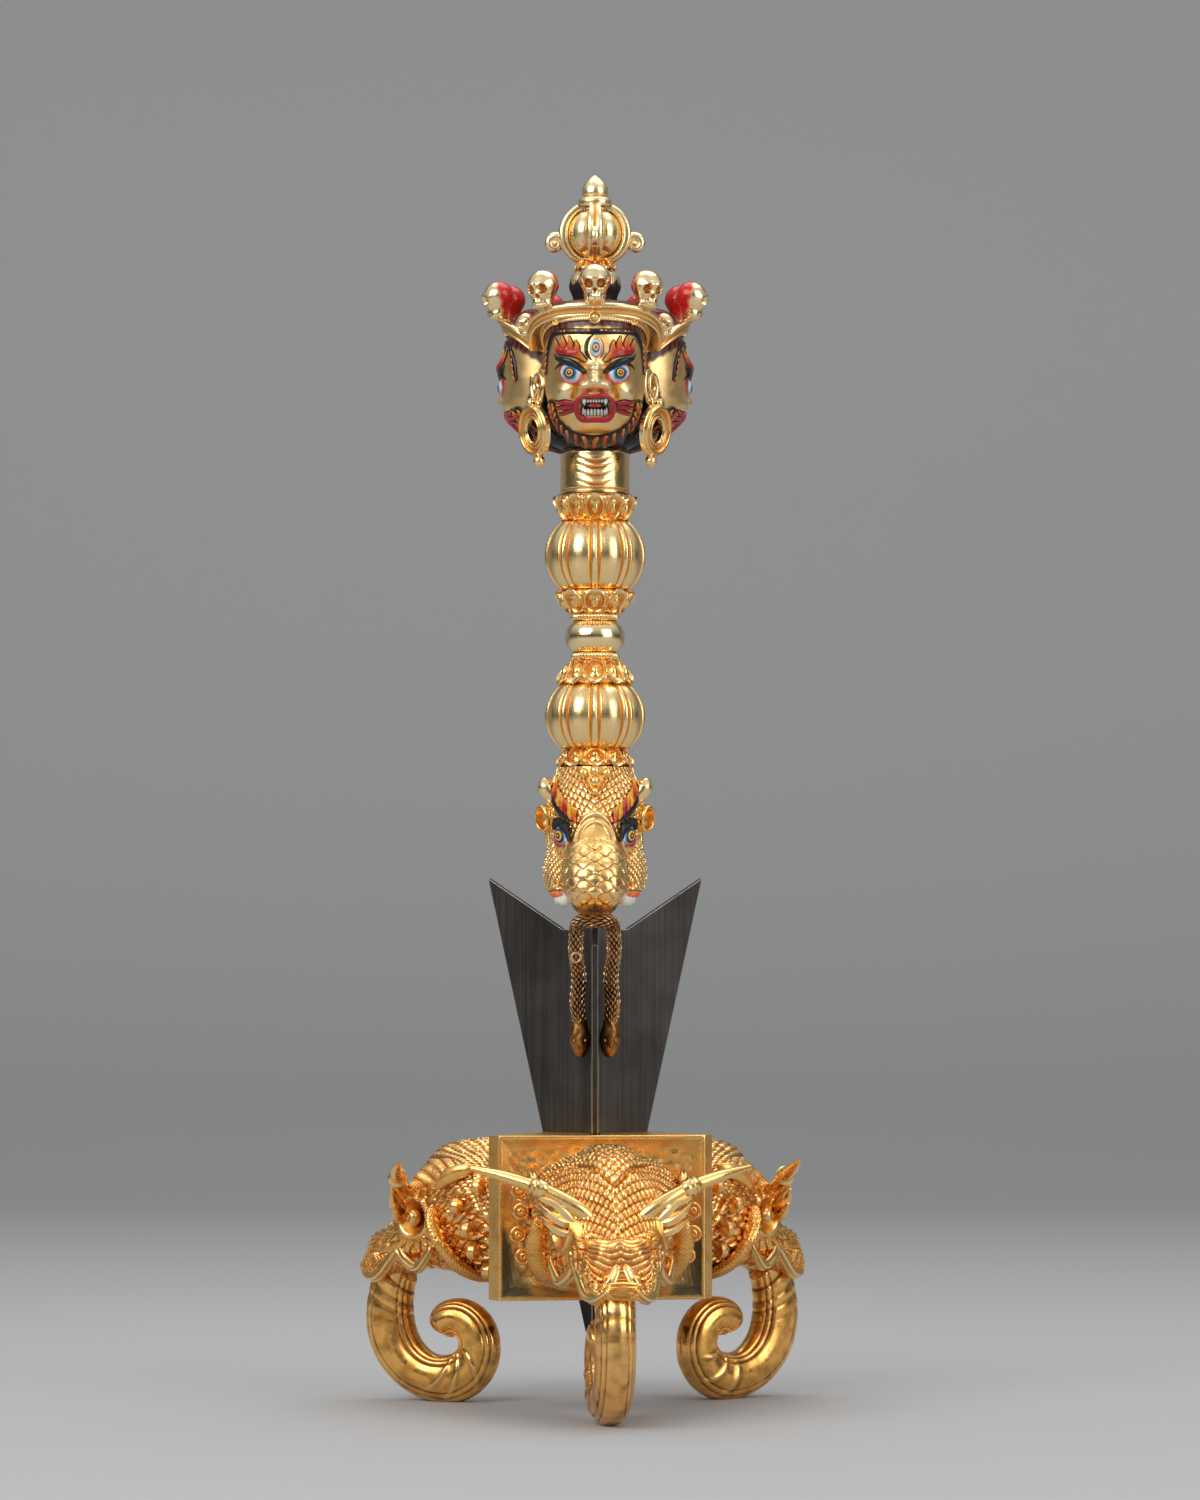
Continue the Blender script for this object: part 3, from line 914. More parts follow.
# Crown: a band in three arches over the faces, with a rolled upper edge, and a reeded cord and set
# jewels along the hair under it.
CROWN_Z, VALLEY_DROP, CROWN_R, VALLEY_R, BAND_T = HEAD_Z + HEAD_H - 4.6, 6.6, 25.0, 19.8, 1.9
VALLEYS = (-30, 90, 210)


def arch(angle):
    """Share of an arch's rise: 1 over a face's middle, 0 in a valley between two faces."""
    return 1 - (np.abs(off_face(angle)) / 60) ** 3.2


def band_z(angle):
    """Height of the band's upper edge."""
    return CROWN_Z - VALLEY_DROP * (1 - arch(angle))


def band_r(angle):
    """Reach of the band's upper edge."""
    return VALLEY_R + (CROWN_R - VALLEY_R) * arch(angle)


def faced(rings, turn, reach, height, tilt=90):
    """Rings made round the Z axis, leaned over by tilt so that Z looks outward, and set on the head."""
    c, s = math.cos(math.radians(tilt)), math.sin(math.radians(tilt))
    x, y, z = rings[..., 0], rings[..., 1], rings[..., 2]
    leaned = np.stack([reach + x * c + z * s, y, height - x * s + z * c], -1)
    return on_axis(leaned, turn)


angle = np.linspace(0, 360, 540, endpoint=False)[:, None]
edge, top_edge = band_r(angle), band_z(angle)
inner = head_r(angle, top_edge - 2.4 - HEAD_Z) - 0.3
bead = np.radians(np.linspace(150, -50, 9))
foot_bead = np.radians(np.linspace(50, -90, 6))
reach = np.concatenate([edge - 0.7 + 0.7 * np.cos(bead), edge - 0.6, edge - 0.75,
                        edge - 1.3 + 0.5 * np.cos(foot_bead), inner + 1, inner, inner, inner + 1], 1)
rise = np.concatenate([top_edge - 0.7 + 0.7 * np.sin(bead), top_edge - 1.5, top_edge - 2.4,
                       top_edge - 3.0 + 0.5 * np.sin(foot_bead), top_edge - 3.4, top_edge - 3.2, top_edge - 1.2,
                       top_edge - 0.9], 1)
turn = np.radians(angle)
band_gold = gilt("band_gilding", (1.0, 0.66, 0.24), DEEP_GOLD, (700, 700, 700), 0.15, 0.17, 0.25)
settle(casting("crown_band_cast", [(np.stack([reach * np.cos(turn), reach * np.sin(turn), rise], -1), True)], 0.12, 1),
       "dagger", "bright_gold", band_gold, "crown_band")

angle = np.linspace(0, 360, 1380, endpoint=False)[:, None]
way = np.linspace(0, 2 * math.pi, 10, endpoint=False)[None, :]
thick = 0.62 * (0.78 + 0.22 * np.abs(np.cos(np.radians(angle * 115) + 0.8 * way)))
height = band_z(angle) - 3.9
reach = head_r(angle, height - HEAD_Z, False) + 0.25 + thick * np.cos(way)
cord = np.stack([reach * np.cos(np.radians(angle)), reach * np.sin(np.radians(angle)), height + thick * np.sin(way)], -1)
settle(casting("crown_cord_reeded", [(cord, True)], 0.1, 1), "dagger", "chased_gold", petal_gold, "crown_cord")

grids = []
for k in range(3):
    for turn, size in ((0, 1.65), (-25, 1.1), (25, 1.1), (60, 1.7)):
        angle = 120 * k - 90 + turn
        height = band_z(angle) - 3.7
        profile = [(size * 0.9, -0.4), (size, 0.3), (size, 0.8), (size * 0.9, 1.1), (size * 0.75, 1.05), (size * 0.66, 0.8),
                   (size * 0.5, 1.0), (size * 0.3, 1.3), (0.05, 1.4)]
        profile = spline(profile, 4)
        place = float(head_r(angle, height - HEAD_Z, False)) + 0.2
        grids.append(faced(turned(profile[:, 0], profile[:, 1], 40), angle, place, float(height)))
settle(casting("crown_jewels_set", grids, 0.1, 1), "dagger", "bright_gold", burnished_gold, "crown_jewels")


# Skulls: nine large and three small ones stand on the crown's band, cast in gilt metal with drilled
# sockets and a row of teeth, and lacquered red behind.
def skull_rings(size):
    """Rings of a skull that looks along +X, from its stem up, and its lacquer cover; size is its width."""
    line = np.array([[-6.05, 2.3, 1.1, 0.2], [-5.6, 1.6, 1.2, 0.3], [-5.1, 1.75, 1.6, 0.6], [-4.6, 2.25, 2.1, 0.9],
                     [-3.8, 2.5, 2.3, 0.9], [-2.9, 2.5, 2.6, 0.6], [-2.0, 2.9, 3.0, 0.2], [-1.1, 3.35, 3.4, 0],
                     [0, 3.6, 3.6, 0], [1.3, 3.4, 3.4, 0], [2.4, 2.7, 2.7, 0], [3.1, 1.85, 1.85, 0],
                     [3.5, 0.85, 0.85, 0], [3.6, 0.1, 0.1, 0]])
    line = spline(line, 4)
    way = np.linspace(0, 2 * math.pi, 68, endpoint=False)[None, :]
    z, wide, deep, fore = (line[:, i:i + 1] for i in range(4))
    y, x = wide * np.sin(way), fore + deep * np.cos(way)
    front = np.clip(np.cos(way), 0, 1) ** 0.5
    m = np.abs(y)
    dent = (1.25 * np.exp(-(np.hypot(m - 1.4, z + 0.5) / 0.95) ** 6) - 0.3 * np.exp(-((np.hypot(m - 1.4, z + 0.5) - 1.3) / 0.35) ** 2)
            + 0.7 * np.exp(-(m / 0.45) ** 2 - ((z + 2.1) / 0.6) ** 2) + 0.35 * np.exp(-((m - 2.3) / 0.7) ** 2 - ((z + 3.1) / 0.5) ** 2)
            - 0.35 * np.exp(-(m / 2.2) ** 2 - ((z - 0.9) / 0.5) ** 2) - 0.3 * np.exp(-(m / 1.9) ** 2 - ((z + 3.7) / 0.8) ** 2)
            + np.exp(-((z + 3.75) / 0.85) ** 4) * (m < 2.0) * (0.22 * np.abs(np.cos(4.1 * y)) ** 6
                                                            + 0.25 * np.exp(-((z + 3.75) / 0.12) ** 2)))
    x = x - dent * front
    red = 1 / (1 + np.exp((x + 0.2 * np.sin(3 * z)) / 0.12)) / (1 + np.exp((-4.9 - z) / 0.15))
    return np.stack([x, y, z + 0 * way], -1) * size / 7.2, red


skull_gold = painted(gilt("skull_gilding", (0.95, 0.72, 0.38), (0.55, 0.2, 0.04), (400, 400, 400), 0.2, 0.16, 0.3), 0.14)
for name, node_angles, size in (
    ("skulls_front", (-122, -90, -58), 7.9), ("skulls_right", (-2, 30, 62), 7.9), ("skulls_left", (118, 150, 182), 7.9),
    ("small_skulls", VALLEYS, 5.0),
):
    shape, red = skull_rings(size)
    tint = np.array([0.62, 0.02, 0.012, 1]) * np.ones(red.shape + (1,))
    tint[..., 3] = red
    grids = [faced(shape, a, float(band_r(a)), float(band_z(a)) + 0.7 * size, 12) for a in node_angles]
    settle(casting(name + "_cast", grids, 0.42, 2, paints=[tint] * 3), "dagger", "bright_gold", skull_gold, name)

# Ears between the faces, each a rolled spiral on a dish with a long lobe, and the round earrings that
# hang from them: a disc with a heavy outer rim, a lighter one round its hole, and a drop.
EAR_Z = HEAD_Z + 0.44 * HEAD_H
RING_D, RING_HOLE_D = 13.2, 5.7
EARRING_Z = EAR_Z - 4.6 - RING_D / 2
grids = []
for angle in VALLEYS:
    dish = turned([0.3, 2.6, 3.4, 3.7, 3.2, 0.1], [-1.6, -0.6, 0.2, 1.2, 1.5, 1.1], 60)
    grids.append(faced(dish * np.array([1.2, 0.86, 1]), angle, 14.6, EAR_Z))
    curl = np.linspace(-2.2, 8.2, 150)
    shrink = np.interp(curl, [-2.2, 0, 4, 8.2], [3.9, 3.3, 2.0, 0.5])
    path = np.stack([1.25 * shrink * np.cos(curl), 0.9 * shrink * np.sin(curl), 1.7 + 0.06 * curl], -1)
    grids.append(faced(tube(path, np.linspace(0.85, 0.6, 150), 14, (0, 0, 1)), angle, 14.6, EAR_Z))
    lobe = spline([(3.0, 0, 1.2), (4.6, 0.1, 1.5), (5.8, 0, 1.3)], 8)
    grids.append(faced(tube(lobe, np.interp(np.linspace(0, 1, 17), [0, 0.5, 0.9, 1], [1.1, 1.4, 1.0, 0.3]), 16), angle, 14.6, EAR_Z))
settle(casting("ears_rolled", grids, 0.16, 1), "dagger", "chased_gold", petal_gold, "ears")

across = np.linspace(RING_HOLE_D / 2, RING_D / 2, 40)
hump = (0.85 * np.exp(-((across - RING_D / 2 + 0.85) / 0.55) ** 4) + 0.6 * np.exp(-((across - RING_HOLE_D / 2 - 0.55) / 0.4) ** 4)
        + 0.25 * np.exp(-((across - RING_HOLE_D / 2 - 1.45) / 0.2) ** 2))
profile = np.vstack([np.stack([across, 0.5 + hump], 1), [[RING_D / 2 + 0.1, 0.4], [RING_D / 2, -0.5]],
                     np.stack([across[::-4], -0.7 + 0 * across[::-4]], 1)])
grids = []
for angle in VALLEYS:
    grids.append((faced(turned(profile[:, 0], profile[:, 1], 84), angle, 17.4, EARRING_Z, 99), True))
    for up, size in ((RING_D / 2 + 1.15, 1.5), (-RING_D / 2 - 0.3, 1.2)):
        sweep = np.radians(np.linspace(-88, 88, 20))
        drop = turned(size * np.cos(sweep) * (1 - 0.12 * np.exp(-((sweep - 0.75) / 0.12) ** 2)), size * np.sin(sweep), 32)
        grids.append(faced(drop[..., [2, 1, 0]] + np.array([up, 0, 0]), angle, 17.4, EARRING_Z, 99))
settle(casting("earrings_cast", grids, 0.14, 1), "dagger", "bright_gold", petal_gold, "earrings")

# The dagger's monster head: a cast makara with shingled scales, a wrinkled snout, heavy cheek lobes and
# five set jewels, gilt, with painted eyes and flame brows.
low, high = span("beast_head")
BEAST_H = (high[2] - low[2]) / 1.19
BEAST_Z, BEAST_W, BEAST_REACH = high[2] - BEAST_H, 26.0, 21.5
BEAST_LINE = spline([
    [-0.19, 0.12, 0.34], [-0.165, 0.27, 0.66], [-0.1, 0.4, 0.88], [-0.035, 0.47, 0.98], [0.012, 0.9, 1], [0.07, 0.97, 1],
    [0.14, 1, 1], [0.22, 0.985, 0.97], [0.3, 0.94, 0.89], [0.38, 0.91, 0.79], [0.46, 0.89, 0.7], [0.56, 0.9, 0.63],
    [0.68, 0.93, 0.585], [0.8, 0.9, 0.52], [0.88, 0.83, 0.46], [0.93, 0.77, 0.42], [1, 0.72, 0.4]], 4)


def scales(u, v, wide, tall):
    """Height, 0 to 1, of overlapping scales with their round edges up; the lowest row over a place is on top."""
    height = np.zeros(np.broadcast(u, v).shape)
    for k in (0, -1, -2):
        row = np.floor(v / tall) + k
        across = (u / wide + 0.5 * (row % 2)) % 1 - 0.5
        far = np.hypot(2 * across, (v - row * tall) / (1.9 * tall))
        height = np.where(far < 1, 1 - far ** 3, height)
    return height


def step(value, width=0.3):
    """Smooth 0 to 1 as the value goes through zero."""
    return 1 / (1 + np.exp(-np.clip(value / width, -30, 30)))


def beast_r(angle, z, fine=True):
    """Distance of the makara's skin from the axis, at degrees from its front and a height over its mouth."""
    share = np.asarray(z, float) / BEAST_H
    side = np.interp(share, BEAST_LINE[:, 0], BEAST_LINE[:, 1]) * BEAST_W / 2
    front = np.interp(share, BEAST_LINE[:, 0], BEAST_LINE[:, 2]) * BEAST_REACH
    off = np.abs((angle + 180) % 360 - 180) / 29
    r = side + np.clip(front - side, 0, None) * np.exp(-off ** 4) + np.where(front < side, 0, 0.8) * np.exp(-off)
    s = np.radians((angle + 180) % 360 - 180) * 12.2
    m = np.abs(s)
    r = (r + 0.9 * swell(m, z, 9.2, 13.4, 2.6, 2.6) - 0.7 * np.exp(-((np.hypot(m - 9.2, z - 13.4) - 3.9) / 0.7) ** 2)
         - 0.5 * swell(m, z, 4.6, 17.5, 1.6, 3.0))
    if not fine:
        return r
    frame_line = np.abs(m - (z - 22.8) * 0.62)
    in_frame = step((z - 23.2) * 0.62 - m) * step(z - 23)
    arches = np.hypot(s / 0.66, (z - 13.2))
    bridge = step(z - 12.8) * step(7.4 - arches)
    snout = step(12.6 - z) * step(7.4 - m, 0.2)
    wrinkle = np.hypot(s, (z - 3.3) * 0.69)
    brow = np.exp(-((z - 19.3 - (m - 5.4) * 0.82) / 1.9) ** 4) * step(m - 4.8) * step(14.5 - m)
    eye = step(3.3 - np.hypot(m - 9.2, z - 13.4))
    bare = np.clip(in_frame + bridge + eye + brow, 0, 1)
    lobe = scales(s - 0.35 * (z - 22) * np.sign(s), z + 0.16 * m ** 1.3, 2.3, 1.15)
    cheek = scales(m * 1.05, z - 0.5 * m, 1.5, 1.0)
    bulb = scales(s, z + 0.06 * s ** 2, 3.2, 1.5)
    rough = np.where(z > 12.6, lobe, cheek)
    r = r + 0.5 * (rough - 0.6) * (1 - bare) * (1 - snout)
    ridges = 0.5 * np.sin(2 * math.pi * wrinkle / 1.1) * step(wrinkle - 6.0)
    r = r + snout * (0.3 * ridges + 0.42 * (bulb - 0.6) * step(6.0 - wrinkle))
    r = r + 0.45 * np.exp(-((arches - 6.2) / 0.45) ** 2) * step(z - 12.6) + 0.35 * np.exp(-((arches - 4.2) / 0.35) ** 2) * step(z - 12.6)
    r = r + 0.6 * np.exp(-(frame_line / 0.38) ** 2) * step(z - 23.4) - 0.35 * in_frame
    lip = z + 0.9 - 0.05 * m ** 1.5
    beside = step(12 - m) * step(m - 6.6)
    return r + beside * (0.6 * np.exp(-(lip / 0.6) ** 2) - 0.5 * np.exp(-((lip - 1.3) / 0.4) ** 2))


z = np.linspace(-0.19, 1, 190)[:, None] * BEAST_H
angle = np.linspace(-180, 180, 360, endpoint=False)[None, :]
radius = beast_r(angle, z)
turn = np.radians(angle - 90)
skin = np.stack([radius * np.cos(turn), radius * np.sin(turn), BEAST_Z + z + 0 * angle], -1)
grids = [skin]
tints = [np.zeros(skin.shape[:2] + (4,))]


def beast_point(s, z, lift):
    """Point of the makara's skin at s round from its front and z over its mouth, lifted outward."""
    w = np.degrees(s / 12.2)
    r = beast_r(w, z, False) + lift
    return np.stack([r * np.sin(np.radians(w)), -r * np.cos(np.radians(w)), BEAST_Z + z], -1)


def beast_stroke(knots, colours, lift=0.35, base=0.15):
    """A painted stroke on both sides of the makara."""
    for flip in (1, -1):
        path = spline([(flip * k[0], k[1], k[2]) for k in knots], 7)
        along = np.gradient(path, axis=0)[:, :2]
        along /= np.linalg.norm(along, axis=1, keepdims=True) + 1e-9
        way = np.linspace(0, 2 * math.pi, 12, endpoint=False)[None, :]
        s = path[:, :1] - along[:, 1:] * path[:, 2:] * np.cos(way)
        z = path[:, 1:2] + along[:, :1] * path[:, 2:] * np.cos(way)
        top = np.sin(way)
        raised = base + np.where(top > 0, lift * np.sqrt(np.clip(top, 0, 1)), 0.4 * top)
        grids.append(beast_point(s, z, raised))
        share = np.linspace(0, 1, len(path))[:, None]
        tints.append(np.broadcast_to(blend(colours, share), s.shape + (4,)))


beast_stroke([(4.4, 18.6, 0.8), (6.4, 19.2, 1.7), (9.0, 21.2, 2.2), (11.6, 24.0, 2.2), (13.2, 26.6, 1.4), (13.6, 28.2, 0.3)],
             [BLACK, BLACK], 0.3)
for k in range(7):
    at = 5.0 + 1.25 * k
    up = 18.4 + 0.85 * k + 0.05 * k * k
    tone = ([CRIMSON, ORANGE, YELLOW], [ORANGE, YELLOW, ORANGE], [RED, CRIMSON, ORANGE])[k % 3]
    beast_stroke([(at - 0.6, up - 1.3, 0.2), (at - 0.1, up - 0.1, 0.6), (at, up + 1.7, 0.58), (at + 0.8, up + 3.5, 0.12)], tone, 0.4, 0.5)
beast_stroke([(5.7, 12.6, 0.3), (7.1, 15.4, 0.9), (9.2, 17.1, 1.15), (11.4, 17.6, 0.95), (12.9, 15.8, 0.3)], [BLACK, BLACK], 0.6, 0.3)
for flip in (1, -1):
    q = np.concatenate([np.linspace(0.01, 1, 30), [1, 0.4]])[:, None]
    way = np.linspace(0, 2 * math.pi, 52, endpoint=False)[None, :]
    x, y = 3.1 * q * np.cos(way), 2.4 * q * np.sin(way)
    under = np.concatenate([np.zeros(30), [1, 1]])[:, None]
    lift = np.where(under > 0, -0.4, 0.25 + 0.75 * (1 - q ** 2)) + 0 * x
    grids.append(beast_point(flip * (9.2 + x), 14.1 + y + 0.35 * x, lift))
    far = np.hypot(x, y)
    rings = [(0, GOLDEN), (0.25, GOLDEN), (0.32, BLACK), (0.68, BLACK), (0.76, GOLDEN), (1.15, GOLDEN), (1.25, BLACK), (1.7, BLACK),
             (1.8, BLUE), (2.2, SKY), (2.5, WHITE), (2.9, WHITE)]
    tint = np.stack([np.interp(far, [r[0] for r in rings], [r[1][i] for r in rings]) for i in range(4)], -1)
    pinkish = (step(-y - 1.5, 0.1) * (far > 1.75))[..., None]
    tints.append(tint * (1 - pinkish) + np.array(PINK) * pinkish)
beast_stroke([(6.6, 12.7, 0.15), (8.0, 11.6, 0.26), (10.3, 11.9, 0.28), (12.2, 14.2, 0.12)], [PINK, RED, PINK], 0.35, 0.4)
for x, up, size in ((-2.6, 29.7, 1.35), (0, 30.2, 1.35), (2.6, 29.7, 1.35), (0, 27.6, 1.3), (0, 25.0, 1.0)):
    sweep = np.radians(np.linspace(-40, 88, 14))
    gem = turned(size * np.cos(sweep), size * 1.1 * np.sin(sweep), 28)
    w = x / 9.0
    place = float(beast_r(math.degrees(w), up, False)) + 0.4
    grids.append(faced(gem, math.degrees(w) - 90, place, BEAST_Z + up))
    tints.append(np.zeros(gem.shape[:2] + (4,)))
for flip in (1, -1):
    gum = spline([(10.9, -8.4, -0.3, 0.4), (10.0, -9.8, -0.5, 0.85), (8.9, -10.9, -0.7, 0.8), (7.9, -11.7, -1.0, 0.3)], 8)
    gum = tube(gum[:, :3] * np.array([flip, 1, 1]) + np.array([0, 0, BEAST_Z]), gum[:, 3], 16)
    grids.append(gum)
    tints.append(np.broadcast_to(np.array([0.8, 0.16, 0.03, 1]), gum.shape[:2] + (4,)))
makara_gold = painted(gilt("makara_gilding", (1.0, 0.64, 0.23), (0.62, 0.24, 0.035), (900, 900, 900), 0.2, 0.2, 0.4), 0.24)
settle(casting("makara_head", grids, 0.2, 1, paints=tints), "dagger", "painted_gold", makara_gold, "beast_head")

# The makara's horn stubs and cupped ears, its ribbed fangs, and the flame locks of its mane behind.
grids = []
for flip in (1, -1):
    horn = spline([(9.4, -3.6, BEAST_Z + 23.4), (11.4, -3.4, BEAST_Z + 25.0), (12.3, -3.2, BEAST_Z + 26.8), (11.7, -3.0, BEAST_Z + 28.6)], 8)
    horn[:, 0] *= flip
    grids.append(tube(horn, np.interp(np.linspace(0, 1, len(horn)), [0, 0.6, 0.9, 1], [1.9, 2.3, 1.5, 0.2]), 24, (0, 1, 0)))
    outer = spline([(0.6, -2.6), (2.2, -2.0), (3.1, -0.4), (3.0, 1.2), (2.6, 1.7), (2.2, 1.5), (1.9, 0.2), (1.0, -0.9), (0.1, -1.2)], 6)
    cup = turned(outer[:, 0], outer[:, 1], 60) * np.array([1.15, 0.9, 1])
    cup = faced(cup, 0, 0, 0, 98)
    c, s = math.cos(math.radians(-38)), math.sin(math.radians(-38))
    cup = np.stack([cup[..., 0] * c - cup[..., 1] * s, cup[..., 0] * s + cup[..., 1] * c, cup[..., 2]], -1)
    grids.append((cup + np.array([12.3, -2.6, BEAST_Z + 18.6])) * np.array([flip, 1, 1]))
settle(casting("makara_ears", grids, 0.25, 1), "dagger", "chased_gold", petal_gold, "beast_ears")

grids = []
for flip in (1, -1):
    path = spline([(flip * 8.8, -9.5, BEAST_Z - 1.4), (flip * 7.7, -10.8, BEAST_Z - 1.9), (flip * 6.6, -12.1, BEAST_Z - 2.4)], 20)
    along = np.linspace(0, 1, len(path))
    thick = np.interp(along, [0, 0.5, 0.85, 1], [1.7, 1.6, 1.25, 0.5]) * (1 - 0.2 * np.abs(np.sin(along * 17)) ** 6)
    grids.append(tube(path, thick, 24))
bone = bpy.data.materials.new("white_enamel")
bone.use_nodes = True
bone_tree, bone_shader = bone.node_tree, bone.node_tree.nodes["Principled BSDF"]
bone_hollow, bone_tone = bone_tree.nodes.new("ShaderNodeAttribute"), bone_tree.nodes.new("ShaderNodeValToRGB")
bone_hollow.attribute_name = "hollow"
bone_tone.color_ramp.elements[0].color, bone_tone.color_ramp.elements[1].color = (0.82, 0.8, 0.76, 1), (0.36, 0.2, 0.1, 1)
bone_tree.links.new(bone_hollow.outputs["Fac"], bone_tone.inputs["Fac"])
bone_tree.links.new(bone_tone.outputs["Color"], bone_shader.inputs["Base Color"])
bone_shader.inputs["Roughness"].default_value = 0.3
settle(casting("makara_fangs", grids, 0.1, 1), "dagger", "tooth_enamel", bone, "beast_fangs")

grids = []
for k in range(-2, 3):
    r = BEAST_W / 2
    path = spline([(r - 2.4, 0, 0.72), (r - 0.6, 0.6, 0.5), (r - 0.4, -0.4, 0.27), (r + 1.6, 0.4, 0.1)], 16)
    path[:, 2] = BEAST_Z + path[:, 2] * BEAST_H
    share = np.linspace(0, 1, len(path))
    thick = np.interp(share, [0, 0.33, 0.66, 1], [1.6, 2.4, 2.2, 0.6])
    way = np.linspace(0, 2 * math.pi, 48, endpoint=False)[None, :]
    strands = 0.22 * np.cos(9 * way + 2.5 * share[:, None]) * np.sin(np.pi * share[:, None]) ** 0.5
    grids.append(on_axis(tube(path, thick, 48, (0, 1, 0), relief=strands - 0.22), 90 + 27 * k))
settle(casting("makara_mane", grids, 0.2, 1), "dagger", "chased_gold", petal_gold, "beast_mane")

# Two bronze snakes that hang head down from a bar under the snout, over the front blade: pebbled skin,
# smooth flattened heads with wavy grooves, and a small ring on the front of the left one.
YOKE_Z = BEAST_Z - 0.19 * BEAST_H - 2.15
snake_bronze = gilt("snake_bronze", (0.43, 0.2, 0.06), (0.03, 0.011, 0.005), (900, 900, 900), 0.25, 0.28, 1.0)
path = spline([(-4.6, -7.3, YOKE_Z - 1.6), (-4.4, -7.6, YOKE_Z + 0.1), (-2.4, -8.3, YOKE_Z + 1.0), (2.4, -8.3, YOKE_Z + 1.0),
               (4.4, -7.6, YOKE_Z + 0.1), (4.6, -7.3, YOKE_Z - 1.6)], 18)
share = np.linspace(0, 1, len(path))[:, None]
way = np.linspace(0, 2 * math.pi, 80, endpoint=False)[None, :]
thick = np.interp(share, [0, 0.33, 0.67, 1], [1.7, 1.9, 1.9, 1.7])
pebbles = 0.55 * scales(way * 1.6, share * 17, 1.256, 0.85) - 0.5
settle(casting("snake_yoke_pebbled", [tube(path, thick, 80, relief=pebbles)], 0.3, 1), "dagger", "bronze", snake_bronze, "snake_yoke")
for flip, node in ((1, "snake_right"), (-1, "snake_left")):
    low_z = YOKE_Z - 33
    knots = [(4.6, -7.3, YOKE_Z - 1.2, 1.9), (4.8, -6.4, YOKE_Z - 7, 1.85), (4.0, -5.2, YOKE_Z - 13, 1.85),
             (4.4, -4.8, YOKE_Z - 19, 1.9), (3.9, -4.6, low_z + 8.5, 1.95), (3.8, -4.6, low_z + 5.5, 2.7),
             (3.7, -4.5, low_z + 3, 2.55), (3.6, -4.4, low_z + 0.8, 1.6), (3.6, -4.2, low_z, 0.5)]
    path = spline(knots, 25)
    path[:, 0] *= flip
    run = np.concatenate([[0], np.cumsum(np.linalg.norm(np.diff(path[:, :3], axis=0), axis=1))])[:, None]
    head_share = step(path[:, 2:3] * 0 + (low_z + 9.2 - path[:, 2:3]), 0.4)
    pebbles = (0.55 * scales(way * 1.6, run, 1.256, 0.85) - 0.5) * (1 - head_share)
    wave = 0.09 * np.cos(5 * way + 1.5 * np.sin(run * 1.3)) * head_share * step(path[:, 2:3] - low_z - 1.2, 0.4)
    grids = [tube(path[:, :3], path[:, 3:4] + 0 * way, 80, (0, 1, 0), relief=pebbles + wave - 0.12 * head_share)]
    for side in (-1, 1):
        sweep = np.radians(np.linspace(-88, 88, 9))
        bead = turned(0.42 * np.cos(sweep), 0.42 * np.sin(sweep), 16)
        grids.append(bead + np.array([flip * 3.75 + side * 1.35, -6.7, low_z + 4.2]))
    if flip < 0:
        ring = np.linspace(0, 2 * math.pi, 40, endpoint=False)
        round_path = np.stack([-4.7 + 1.15 * np.cos(ring), -7.9 + 0 * ring, YOKE_Z - 8.2 + 1.15 * np.sin(ring)], -1)
        hoop = round_path[:, None] + 0.42 * (np.cos(way[..., ::8])[..., None] * (round_path - [-4.7, -7.9, YOKE_Z - 8.2])[:, None] / 1.15
                                             + np.sin(way[..., ::8])[..., None] * np.array([0, 1, 0]))
        grids.append((hoop, True))
    settle(casting(node + "_pebbled", grids, 0.3, 1), "dagger", "bronze", snake_bronze, node)

# Stand: three square plates round a top plate, gilt and polished, each with a bright edge line, a dark
# polished cove and a hammered field. Strips close the corners, and a cone inside holds the blades.
STAND_TOP, PLATE_H, PLATE_W, PLATE_T, FIELD_DEPTH = 68.5, 40.5, 51.5, 1.6, 0.8
PLATE_IN, STAND_TURN = 15.72, 6
PLATE_OUT = PLATE_IN + PLATE_T
FIELD_X, STAND_LOW = PLATE_OUT - FIELD_DEPTH, STAND_TOP - PLATE_H
SIDES = ("front", "right", "left")


def on_side(rings, k):
    """Rings made on a side that looks along +X, set on the stand's side k."""
    return on_axis(rings, -90 + STAND_TURN + 120 * k)


edge_way = np.linspace(-1, 1, 65)[:-1]
square_y = np.concatenate([edge_way, np.ones(64), -edge_way, -np.ones(64)])[None, :]
square_z = np.concatenate([-np.ones(64), edge_way, np.ones(64), -edge_way])[None, :]
inset = np.concatenate([[0, 0.12, 0.3, 0.5, 0.75, 0.95], np.linspace(1.1, 3.6, 12), np.linspace(4, 20.2, 34)])
cove = np.clip((inset - 0.9) / 2.7, 0, 1)
fall = np.where(inset < 0.2, 0.25 - inset, 0) + FIELD_DEPTH * np.sin(cove * math.pi / 2) ** 0.8
inset, fall = inset[::-1, None], fall[::-1, None]
y = square_y * (PLATE_W / 2 - inset)
z = square_z * (PLATE_H / 2 - inset)
in_field = step(inset - 3.3, 0.2)
hammered = (0.16 * np.sin(0.9 * y + 0.7 * z + 2) * np.sin(1.3 * z - 0.5 * y) + 0.1 * np.sin(2.1 * y + 1) * np.sin(1.7 * z)
            + 0.05 * np.sin(5.3 * y + 2 * np.sin(1.9 * z)))
x = PLATE_OUT - fall + in_field * (hammered - 0.1) + 0 * y
back = np.stack([PLATE_IN + 0 * square_y, square_y * PLATE_W / 2, square_z * PLATE_H / 2], -1)
middle = back * np.array([1, 0.3, 0.3])
front = np.stack([x, y, z], -1)
